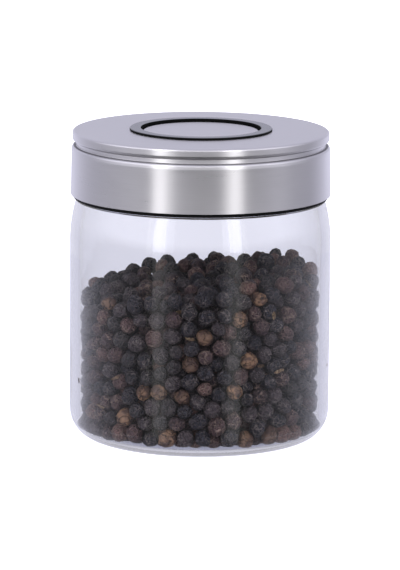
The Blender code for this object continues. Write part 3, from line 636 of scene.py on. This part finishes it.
# Peeled peppercorns at the glass: turn from the front in degrees, height over the floor in mm
PEELED_IN_VIEW = (
    (29, 51.5), (17, 39.6), (4, 35.2), (27, 28.6), (-3, 26.8), (-17, 17.5), (-10, 14.9),
    (-31, 19.1), (-40, 10.4), (38, 2.6), (21, 1.0), (-13, 1.3), (-49, 43.3), (14, 17.8),
)
# Colours of the skins, from the darkest peppercorns to the palest
BLACK_SKINS = ("17151d", "25232d", "302d2c", "3b3234", "4f4445")
BROWN_SKINS = ("2d2023", "402f33", "4b3738", "5c4441", "7f5d50")
PEELED_CORES = ("5f4a3b", "80634b", "ac8460")
LOOSE_SKINS = ("4b3a2c", "6b5542", "94795a")

PATTERNS = 6
RIDGE_SPACING, RIDGE_DEPTH = 0.0013, 0.00040
# Most that a radius differs from the mean, in spreads, and how high they are strewn, in heaps
SPREAD_LIMIT, STREWN = 2.2, 1.25
# Rounds of settling, how many go between searches for neighbours, and pushes in each
SETTLING_ROUNDS, SEARCH_EVERY, SWEEPS = 260, 8, 4
# Neighbours' distance in radii, share of the rounds that fall, how far in radii, how much of
# an overlap each push takes away, and how many radii under the surface a peppercorn must be
NEARBY, FALLING, FALL_SHARE, PUSH_SHARE, SUNK = 2.35, 0.75, 0.12, 0.35, 0.7
# Chances of black and brown for a peeled peppercorn in front, where the places above hold
RESKINNED = (0.75, 0.25)


def corner_hold(places, radii, across, inner, floor, corner):
    """Keeps the peppercorns inside the rounded edge of the jar's floor."""
    ring = inner - corner
    low = floor + corner
    reach = np.hypot(across - ring, places[:, 2] - low)
    over = (across > ring) & (places[:, 2] < low) & (reach > corner - radii)
    if not over.any():
        return across
    share = (corner - radii[over]) / reach[over]
    nearer = ring + (across[over] - ring) * share
    places[over, 2] = low + (places[over, 2] - low) * share
    places[over, :2] *= (nearer / across[over])[:, None]
    across[over] = nearer
    return across


def settled_heap(pepper, inner, floor, corner, tilt=radians(2.5)):
    """Places and radii of the peppercorns: strewn in, sunk, and pushed apart until they rest."""
    random = np.random.default_rng(pepper.seed)
    count = pepper.count
    limit = SPREAD_LIMIT * pepper.spread
    radii = random.normal(pepper.size, pepper.spread, count)
    radii = radii.clip(pepper.size - limit, pepper.size + limit)
    turn = random.uniform(0, 2 * pi, count)
    out = (inner - pepper.size) * np.sqrt(random.uniform(0, 1, count))
    depth = pepper.level - floor
    height = floor + pepper.size + STREWN * depth * random.uniform(0, 1, count)
    places = np.stack([out * np.cos(turn), out * np.sin(turn), height], axis=1)
    down = np.array([sin(tilt), 0, -cos(tilt)])
    nearby = NEARBY * pepper.size + 2 * pepper.spread
    for step in range(SETTLING_ROUNDS):
        if step % SEARCH_EVERY == 0:
            gap = places[:, None, :] - places[None, :, :]
            near = np.einsum("ijk,ijk->ij", gap, gap) < nearby**2
            first, second = np.nonzero(np.triu(near, 1))
        falling = max(0.0, 1 - step / (FALLING * SETTLING_ROUNDS))
        places += down * pepper.size * FALL_SHARE * falling
        for _ in range(SWEEPS):
            apart = places[first] - places[second]
            far = np.maximum(np.linalg.norm(apart, axis=1), 1e-9)
            lap = radii[first] + radii[second] - far
            hit = lap > 0
            push = apart[hit] * (PUSH_SHARE * lap[hit] / far[hit])[:, None]
            for axis in range(3):
                places[:, axis] += np.bincount(first[hit], push[:, axis], count)
                places[:, axis] -= np.bincount(second[hit], push[:, axis], count)
            across = np.hypot(places[:, 0], places[:, 1])
            across = corner_hold(places, radii, across, inner, floor, corner)
            wide = across > inner - radii
            places[wide, :2] *= ((inner - radii[wide]) / across[wide])[:, None]
            places[:, 2] = np.maximum(places[:, 2], floor + radii)
    surface = pepper.level + pepper.tilt * places[:, 0] / inner
    under = places[:, 2] + SUNK * radii < surface
    return places[under], radii[under], random


def corn_patterns():
    """Peppercorns of radius 1: lumpy, each shrunk in its own way."""
    patterns = []
    for number in range(PATTERNS):
        start_clean()
        bpy.ops.mesh.primitive_ico_sphere_add(subdivisions=2, radius=1, location=(3 * number, 0, 0))
        corn = bpy.context.object
        corn.scale = (1.05, 0.97, 0.92)
        settle_place(corn)
        lumps = bpy.data.textures.new("pepper_lumps", "CLOUDS")
        lumps.noise_scale = 0.75
        shrink = corn.modifiers.new("Shrink", "DISPLACE")
        shrink.texture = lumps
        shrink.texture_coords = "GLOBAL"
        shrink.strength = 0.36
        apply_modifiers(corn)
        edit(corn)
        bpy.ops.transform.translate(value=(-3 * number, 0, 0))
        bpy.ops.object.mode_set(mode="OBJECT")
        bpy.data.textures.remove(lumps)
        smooth(corn, pi)
        patterns.append(corn)
    return patterns


def place_copies(name, patterns, picks, places, sizes, turns, tones):
    """Copies of the patterns, each with its own mesh, joined into one piece."""
    copies = []
    for pick, place, size, turn, own in zip(picks, places, sizes, turns, tones):
        mesh = patterns[pick].data.copy()
        mesh.transform(Matrix.LocRotScale(Vector(place), Euler(turn), Vector((size, size, size))))
        tint = mesh.attributes.new("tone", "FLOAT", "POINT")
        tint.data.foreach_set("value", [own] * len(mesh.vertices))
        copy = bpy.data.objects.new(name, mesh)
        bpy.context.collection.objects.link(copy)
        copies.append(copy)
    return join(name, copies)


def skin_flake():
    """A curled sliver of skin with a torn edge, which lies on a peppercorn of radius 1."""
    start_clean()
    bpy.ops.mesh.primitive_circle_add(
        vertices=14, radius=0.62, fill_type="TRIFAN", location=(0, 0, 1)
    )
    flake = bpy.context.object
    flake.scale = (1.0, 0.36, 1.0)
    settle_place(flake)
    edit(flake)
    bpy.ops.mesh.subdivide(number_cuts=1)
    bpy.ops.object.mode_set(mode="OBJECT")
    curl = flake.modifiers.new("Curl", "CAST")
    curl.factor = 1.0
    curl.radius = 1.04
    curl.size = 1.04
    curl.use_radius_as_size = True
    ragged = bpy.data.textures.new("ragged_edge", "CLOUDS")
    ragged.noise_scale = 0.35
    tear = flake.modifiers.new("Tear", "DISPLACE")
    tear.texture = ragged
    tear.texture_coords = "GLOBAL"
    tear.strength = 0.30
    skin = flake.modifiers.new("Skin", "SOLIDIFY")
    skin.thickness = 0.05
    skin.offset = 1
    apply_modifiers(flake)
    bpy.data.textures.remove(ragged)
    smooth(flake, pi / 3)
    return flake


class STORAGEJAR_OT_peppercorns(Operator):
    """Fills the jar with a settled heap: black, brown and peeled peppercorns and loose skins"""

    bl_idname = "storage_jar.peppercorns"
    bl_label = "Peppercorns"

    def execute(self, context):
        jar = context.scene.storage_jar
        pepper = jar.pepper
        inner = GLASS_HIGH.x - jar.glass.wall - CORN_GAP
        floor = jar.glass.push_up + jar.glass.floor + CORN_GAP
        places, radii, random = settled_heap(pepper, inner, floor, jar.glass.floor_corner)
        count = len(radii)
        brown, peeled = pepper.brown_share, pepper.peeled_share
        kind = random.choice(3, count, p=[1 - brown - peeled, brown, peeled])
        in_front = (places[:, 1] < 0) & (kind == 2)
        kind[in_front] = random.choice(2, in_front.sum(), p=RESKINNED)
        for turn, height in PEELED_IN_VIEW:
            angle = radians(turn)
            spot = np.array([sin(angle) * inner, -cos(angle) * inner, floor + height / 1000])
            kind[np.argmin(np.linalg.norm(places - spot, axis=1))] = 2
        patterns = corn_patterns()
        picks = random.integers(0, PATTERNS, count)
        turns = random.uniform(0, 2 * pi, (count, 3))
        tones = random.uniform(0, 1, count)
        skins = (
            ("peppercorns_black", peppercorn_skin(
                "black_pepper_skin", BLACK_SKINS, "8c8078", RIDGE_SPACING, RIDGE_DEPTH)),
            ("peppercorns_brown", peppercorn_skin(
                "brown_pepper_skin", BROWN_SKINS, "a48c7c", RIDGE_SPACING, RIDGE_DEPTH)),
            ("peppercorns_peeled", peeled_core(PEELED_CORES)),
        )
        for number, (name, material) in enumerate(skins):
            own = kind == number
            piece = place_copies(
                name, patterns, picks[own], places[own], radii[own], turns[own], tones[own]
            )
            smooth(piece, pi)
            hand_over(piece, material, "jar", ["peppercorn_fill"])
        self.strew_flakes(pepper, places, radii, random)
        for pattern in patterns:
            bpy.data.objects.remove(pattern)
        return {"FINISHED"}

    def strew_flakes(self, pepper, places, radii, random):
        """Lays loose scraps of skin on the outermost peppercorns."""
        outermost = np.argsort(-np.hypot(places[:, 0], places[:, 1]) - 0.3 * places[:, 2])
        chosen = random.choice(outermost[: len(outermost) // 3], pepper.flakes, replace=False)
        flake = skin_flake()
        turns = []
        for corn in chosen:
            x, y, _ = places[corn]
            outward = Vector((x, y, random.uniform(-0.02, 0.03))).normalized()
            aim = outward.to_track_quat("Z", "Y").to_matrix()
            spin = Matrix.Rotation(random.uniform(0, 2 * pi), 3, "Z")
            turns.append((aim @ spin).to_euler())
        sizes = radii[chosen] * random.uniform(0.98, 1.02, pepper.flakes)
        piece = place_copies(
            "pepper_flakes", [flake], [0] * pepper.flakes, places[chosen], sizes, turns,
            random.uniform(0, 1, pepper.flakes),
        )
        bpy.data.objects.remove(flake)
        material = peppercorn_skin("loose_pepper_skin", LOOSE_SKINS, "c4aa82", 0.0012, 0.00010)
        hand_over(piece, material, "jar", ["peppercorn_fill"])


# ---------------------------------------------------------------- lid

# Painted shade: colour of the steel on the ledge in the groove, as a share of the cover's, darkened
# to draw the dark line that reflection and shade give there
PAINTED_GROOVE_SHADE = 0.4
# Height of a face's normal from which it counts as the flat top and as the ledge
FLAT, NEARLY_FLAT = 0.995, 0.95
# The liner's walls, the plug's room in the neck, and the cone's foot and seat in its tube
DECK, ROOF, PLUG_WALL, TUBE_WALL = 0.0018, 0.0016, 0.0017, 0.0004
PLUG_ROOM, CONE_FOOT, CONE_RISE = 0.0008, 0.0014, 0.0064
PILLAR_RADIUS, HOLE_RADIUS = 0.0026, 0.0012


class STORAGEJAR_OT_steel_cover(Operator):
    """Turns the drawn steel cover: flat top, rolled bead, groove, shoulder, band and flared hem"""

    bl_idname = "storage_jar.steel_cover"
    bl_label = "Steel Cover"

    def execute(self, context):
        lid = context.scene.storage_jar.lid
        band = COVER_HIGH.x - HEM_FLARE
        top, hem = COVER_HIGH.z, COVER_LOW.z
        tube_hole = BEZEL_HIGH.x - lid.bezel_lip + GAP
        groove = band - lid.groove_inset
        outline = rounded([
            (tube_hole, top, 0),
            (band - 0.00042, top, lid.bead_rounding),
            (band - 0.00034, top - 0.0028, 0.0009),
            (groove, top - 0.0032, 0.0002),
            (groove + 0.00006, top - LEDGE_DEPTH, 0.0001),
            (band - lid.waist - 0.00012, top - SHOULDER_DEPTH, lid.shoulder_rounding),
            (band - lid.waist, top - 0.0061, 0.002),
            (band - lid.waist / 2, (top + hem) / 2 - 0.0018, 1.0),
            (COVER_HIGH.x, hem + 0.0001, 0),
            (COVER_HIGH.x - 0.0002, hem, 0),
        ])
        cover = turned("lid_cover", outline)
        sheet_metal(cover, lid.sheet)
        smooth_by_area(cover)
        side = satin_steel("brushed_steel_band", lid.steel, (0.03, 0.03, 1), 0.30, 0.75)
        flat = satin_steel("brushed_steel_top", lid.steel, (0.03, 1, 1), 0.34, 0.8, True)
        hand_over(cover, side, "lid", ["steel_cover"])
        # Painted shade: a darker copy of the band's steel for the ledge at the groove's foot
        groove_shade_colour = [PAINTED_GROOVE_SHADE * c for c in lid.steel]
        groove_shade_steel = satin_steel("steel_with_painted_groove_shade", groove_shade_colour, (0.03, 0.03, 1), 0.5, 0.0)
        cover.data.materials.append(flat)
        cover.data.materials.append(groove_shade_steel)
        for face in cover.data.polygons:
            if face.normal.z > FLAT and face.center.z > top - 0.0001:
                face.material_index = 1
            # Ledge faces at the groove's foot take the painted shade
            elif face.normal.z > NEARLY_FLAT and face.center.z < top - LEDGE_DEPTH + 0.0002:
                face.material_index = 2
        return {"FINISHED"}


class STORAGEJAR_OT_liner(Operator):
    """Turns the moulded liner with its skirt, plug wall, guide tube and screw pillars"""

    bl_idname = "storage_jar.liner"
    bl_label = "Liner"

    def execute(self, context):
        jar = context.scene.storage_jar
        neck, bore, _ = neck_sizes(jar.glass)
        skirt, skirt_bore = LINER_HIGH.x, neck + GAP
        plug = bore - PLUG_ROOM
        plug_bore = plug - PLUG_WALL
        edge = COVER_HIGH.x - HEM_FLARE - jar.lid.groove_inset - jar.lid.sheet - GAP
        roof = WASHER_HIGH.z + GAP
        deck, under = LINER_HIGH.z, LINER_HIGH.z - DECK
        tube_hole = BEZEL_HIGH.x - jar.lid.bezel_lip + GAP
        tube_bore = DISC_HIGH.x + GAP
        tube = tube_hole + TUBE_WALL
        tube_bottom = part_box("expander_cone")[0].z + CONE_FOOT + CONE_RISE
        seat = BEZEL_LOW.z - GAP
        cover_top = COVER_HIGH.z
        inner_rounding = jar.lid.shoulder_rounding - jar.lid.sheet
        outline = rounded([
            (tube_hole, deck, 0),
            (plug, deck, 0.0002),
            (plug, roof + ROOF, 0.0003),
            (edge - PLUG_WALL, roof + ROOF, 0.0003),
            (edge - PLUG_WALL, deck, 0.0002),
            (edge, deck, 0.0003),
            (edge, cover_top - LEDGE_DEPTH - GAP, 0.0002),
            (skirt, cover_top - SHOULDER_DEPTH - jar.lid.sheet - GAP, inner_rounding),
            (skirt, LINER_LOW.z, 0.0003),
            (skirt_bore, LINER_LOW.z, 0.0003),
            (skirt_bore, roof, 0.0002),
            (plug, roof, 0.0002),
            (plug, GASKET_HIGH.z + GAP, 0.0002),
            (plug_bore, GASKET_HIGH.z + GAP, 0.0002),
            (plug_bore, under, 0.0004),
            (tube, under, 0.0004),
            (tube, tube_bottom, 0.0002),
            (tube_bore, tube_bottom, 0.0002),
            (tube_bore, seat, 0.0001),
            (tube_hole, seat, 0.0001),
        ])
        liner = turned("lid_liner", [*outline, outline[0]])
        pillars, holes = [], []
        for number in (1, 2, 3):
            low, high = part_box(f"base_screw_{number}")
            x, y = (low.x + high.x) / 2, (low.y + high.y) / 2
            foot, end = PLATE_HIGH.z + GAP, under + 0.0005
            pillars.append(round_bar(f"pillar_{number}", PILLAR_RADIUS, foot, end, x, y))
            foot, end = PLATE_HIGH.z - 0.001, high.z + GAP
            holes.append(round_bar(f"hole_{number}", HOLE_RADIUS, foot, end, x, y))
        combine(liner, pillars, "UNION")
        combine(liner, holes, "DIFFERENCE")
        smooth(liner)
        black = moulded("black_polypropylene", "020203", 0.6, 0.0004, 0.00001, 1.2)
        hand_over(liner, black, "lid", ["lid_housing"])
        return {"FINISHED"}


class STORAGEJAR_OT_bezel(Operator):
    """Turns the raised glossy ring round the button"""

    bl_idname = "storage_jar.bezel"
    bl_label = "Button Bezel"

    def execute(self, context):
        lid = context.scene.storage_jar.lid
        top, tube = BEZEL_HIGH.z, BEZEL_HIGH.x - lid.bezel_lip
        bore = DISC_HIGH.x + GAP
        flange = COVER_HIGH.z + GAP / 3
        outline = rounded([
            (bore + lid.bezel_mouth, top, 0.00015),
            (BEZEL_HIGH.x, top, 0.0003),
            (BEZEL_HIGH.x, flange, 0.0001),
            (tube, flange, 0),
            (tube, BEZEL_LOW.z, 0.0002),
            (bore, BEZEL_LOW.z, 0.0002),
            (bore, top - 0.0016, 0.0001),
            (bore + lid.bezel_mouth, top - 0.0016, 0.0001),
        ])
        ring = turned("button_bezel", [*outline, outline[0]])
        smooth_by_area(ring)
        gloss = moulded("glossy_black_abs", "060607", 0.12, 0.006, 0.000004, 1.50)
        # The side walls' copy of the black plastic is darker and duller: partly the matt finish of
        # a moulded bore, partly painted shade that makes them read black
        shaded_wall_abs = moulded("black_abs_painted_wall_shade", "010101", 0.65, 0.0004, 0.00001, 1.15)
        hand_over(ring, gloss, "lid", ["button_ring"])
        ring.data.materials.append(shaded_wall_abs)
        # Side walls take the darker copy: painted shade
        for face in ring.data.polygons:
            if abs(face.normal.z) < 0.5:
                face.material_index = 1
        return {"FINISHED"}


class STORAGEJAR_OT_button(Operator):
    """Turns the button's steel disc with its turned-down rim"""

    bl_idname = "storage_jar.button"
    bl_label = "Button Disc"

    def execute(self, context):
        lid = context.scene.storage_jar.lid
        outline = rounded([
            (0, DISC_HIGH.z, 0),
            (DISC_HIGH.x, DISC_HIGH.z, 0.0006),
            (DISC_HIGH.x, DISC_LOW.z, 0),
        ])
        disc = turned("button_face", outline)
        sheet_metal(disc, lid.disc_sheet)
        smooth_by_area(disc)
        flat = satin_steel("brushed_steel_button", lid.steel, (0.03, 1, 1), 0.34, 0.8, True)
        hand_over(disc, flat, "button", ["button_disc"])
        return {"FINISHED"}


class STORAGEJAR_OT_inner_works(Operator):
    """Gives the CAD's own inner pieces, whose shapes are right, their finishes"""

    bl_idname = "storage_jar.inner_works"
    bl_label = "Inner Works"

    def execute(self, context):
        liner = moulded("black_polypropylene_inner", "1d1d1f", 0.40, 0.0004, 0.00001)
        rubber = moulded("black_silicone", "232323", 0.62, 0.0008, 0.00001, 1.41)
        acetal = moulded("white_acetal", "dcdbd5", 0.42, 0.0006, 0.00001, 1.48)
        wire = bright_wire()
        finishes = {
            "rim_seal": rubber,
            "gasket": rubber,
            "base_plate": liner,
            "button_plunger": liner,
            "expander_cone": liner,
            "latch_barrel": acetal,
            "latch_rotor": acetal,
            "rotor_screw": wire,
            "return_spring": wire,
        }
        for number in (1, 2, 3):
            finishes[f"base_screw_{number}"] = wire
            finishes[f"cone_screw_{number}"] = wire
        for name, material in finishes.items():
            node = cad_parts[name]
            node.data.materials.clear()
            node.data.materials.append(material)
        return {"FINISHED"}


# ---------------------------------------------------------------- studio

# Brightness of the room by turn from the front, in degrees, to the camera's right
ROOM_ABOVE = ((-180, 0.71), (-150, 0.85), (-115, 0.65), (-80, 1.75), (-60, 1.95), (0, 1.5),
              (40, 1.4), (75, 1.8), (90, 1.2), (115, 0.58), (150, 0.75), (180, 0.71))
ROOM_BELOW = ((-180, 0.9), (-150, 0.9), (-120, 0.66), (-80, 0.25), (-45, 0.1), (0, 0.06),
              (45, 0.1), (80, 0.3), (115, 0.5), (150, 0.95), (180, 0.9))
# Each strip lamp's turn from the front, width and share of the brightness
STRIPS = (
    ("left_strip", -36, 0.23, 1.0), ("left_strip_spill", -27, 0.17, 0.30),
    ("right_strip", 31, 0.23, 1.0), ("right_strip_spill", 23, 0.13, 0.38),
)
STRIP_HIGH = 1.3
STRIP_LOW = -0.9
LOW_STRIP_SHARE = 0.17
# Heights of a direction, as its Z, between which the room goes from below to above and
# to the ceiling, and between which what is bent down through the glass darkens
HORIZON, CEILING, STEEP_DOWN = (-0.06, 0.06), (0.35, 0.95), (-0.26, -0.42)
CEILING_SHADE = (0.80, 0.80, 0.95, 1)
BENT_SHADE, BENT_DOWN_SHADE = (0.92, 0.907, 0.92, 1), (0.52, 0.52, 0.60, 1)


def cool(level, turn):
    """Light of a level, neutral in front of the jar and bluish behind it."""
    return level, level, level * (1.13 - 0.08 * cos(radians(turn)))


def room():
    """A soft room: paler behind the jar, with grey sides, seen only in reflections and as light.

    Straight through the glass and round the jar it is plain white.
    """
    world = bpy.data.worlds.new("studio_room")
    world.use_nodes = True
    tree = world.node_tree
    tree.nodes.clear()
    direction = add(tree, PLACE, {}, "Generated")
    quarter = {"Vector": direction, "Rotation": (0, 0, radians(90))}
    front = add(tree, "ShaderNodeMapping", quarter)
    radial = {"gradient_type": "RADIAL", "Vector": front}
    around = add(tree, "ShaderNodeTexGradient", radial, 1)
    height = add(tree, "ShaderNodeSeparateXYZ", {0: direction}, 2)
    rise, arch, steep = (
        add(tree, RANGE, {0: height, 1: low, 2: high, 3: 0, 4: 1})
        for low, high in (HORIZON, CEILING, STEEP_DOWN)
    )
    above, below = (
        add(tree, RAMP, {
            "stops": [(0.5 + turn / 360, cool(level, turn)) for turn, level in levels],
            "Fac": around,
        })
        for levels in (ROOM_ABOVE, ROOM_BELOW)
    )
    walls = add(tree, MIX, {"data_type": "RGBA", 0: rise, 6: below, 7: above}, 2)
    whole = add(tree, MIX, {"data_type": "RGBA", 0: arch, 6: walls, 7: CEILING_SHADE}, 2)
    rays = add(tree, "ShaderNodeLightPath", {}).node.outputs
    unmirrored = add(tree, MATH, {"operation": "LESS_THAN", 0: rays["Glossy Depth"], 1: 0.5})
    plain = add(tree, MATH, {"operation": "MAXIMUM", 0: unmirrored, 1: steep})
    bent_ray = rays["Is Transmission Ray"]
    through = add(tree, MATH, {"operation": "MULTIPLY", 0: bent_ray, 1: plain})
    bent = {"data_type": "RGBA", 0: steep, 6: BENT_SHADE, 7: BENT_DOWN_SHADE}
    soft, pale, white = (
        add(tree, "ShaderNodeBackground", {"Color": shade})
        for shade in (whole, add(tree, MIX, bent, 2), (1, 1, 1, 1))
    )
    mixed = add(tree, "ShaderNodeMixShader", {0: through, 1: soft, 2: pale})
    mixed = add(tree, "ShaderNodeMixShader", {0: rays["Is Camera Ray"], 1: mixed, 2: white})
    feed(tree.nodes.new("ShaderNodeOutputWorld"), {"Surface": mixed})
    bpy.context.scene.world = world


def strip_lamp(name, turn, distance, width, low, high, brightness):
    """A tall soft box that faces the jar, given by its brightness and not by its power."""
    start_clean()
    angle = radians(turn)
    place = Vector((sin(angle) * distance, -cos(angle) * distance, (low + high) / 2))
    bpy.ops.object.light_add(type="AREA", location=place)
    lamp = bpy.context.object
    lamp.name = lamp.data.name = name
    lamp.rotation_euler = (radians(90), 0, angle)
    lamp.data.shape = "RECTANGLE"
    lamp.data.size = width
    lamp.data.size_y = high - low
    lamp.data.energy = brightness * pi * width * (high - low)
    lamp.visible_camera = False


class STORAGEJAR_OT_studio(Operator):
    """Lays the floor and sets the lamps, the room and the camera as in the photograph"""

    bl_idname = "storage_jar.studio"
    bl_label = "Studio"

    def execute(self, context):
        studio = context.scene.storage_jar.studio
        start_clean()
        bpy.ops.mesh.primitive_circle_add(vertices=64, radius=4.0, fill_type="NGON")
        floor = context.object
        floor.name = floor.data.name = "studio_floor"
        floor.visible_glossy = False
        floor.visible_transmission = False
        floor.data.materials.append(seamless_paper(studio.glow))
        room()
        for name, turn, width, share in STRIPS:
            bright = studio.strip * share
            strip_lamp(name, turn, studio.lamp_distance, width, 0.0, STRIP_HIGH, bright)
            strip_lamp(
                f"{name}_below", turn, studio.lamp_distance, width, STRIP_LOW, 0.0,
                bright * LOW_STRIP_SHARE,
            )
        bpy.ops.object.camera_add(
            location=(0, -studio.distance, studio.height),
            rotation=(radians(90) - studio.pitch, studio.roll, -studio.roll * sin(studio.pitch)),
        )
        camera = context.object
        camera.name = camera.data.name = "photograph_camera"
        camera.data.lens = studio.lens
        context.scene.camera = camera
        context.scene.view_settings.view_transform = "Standard"
        return {"FINISHED"}


# ---------------------------------------------------------------- add-on

STEPS = (
    STORAGEJAR_OT_studio,
    STORAGEJAR_OT_glass,
    STORAGEJAR_OT_peppercorns,
    STORAGEJAR_OT_steel_cover,
    STORAGEJAR_OT_liner,
    STORAGEJAR_OT_bezel,
    STORAGEJAR_OT_button,
    STORAGEJAR_OT_inner_works,
)


class STORAGEJAR_PT_panel(Panel):
    """Lists the jar's pieces"""

    bl_idname = "STORAGEJAR_PT_panel"
    bl_label = "Storage Jar"
    bl_space_type = "VIEW_3D"
    bl_region_type = "UI"
    bl_category = "Storage Jar"

    def draw(self, context):
        settings = context.scene.storage_jar
        for step in STEPS:
            self.layout.operator(step.bl_idname)
        for group in (settings.glass, settings.pepper, settings.lid, settings.studio):
            box = self.layout.box()
            for name in group.__annotations__:
                box.prop(group, name)


CLASSES = (
    GlassSettings,
    PepperSettings,
    LidSettings,
    StudioSettings,
    JarSettings,
    *STEPS,
    STORAGEJAR_PT_panel,
)


def register():
    for cls in CLASSES:
        bpy.utils.register_class(cls)
    bpy.types.Scene.storage_jar = PointerProperty(type=JarSettings)


def unregister():
    del bpy.types.Scene.storage_jar
    for cls in reversed(CLASSES):
        bpy.utils.unregister_class(cls)


def main():
    register()
    for step in STEPS:
        family, name = step.bl_idname.split(".")
        getattr(getattr(bpy.ops, family), name)()


if __name__ == "__main__":
    main()
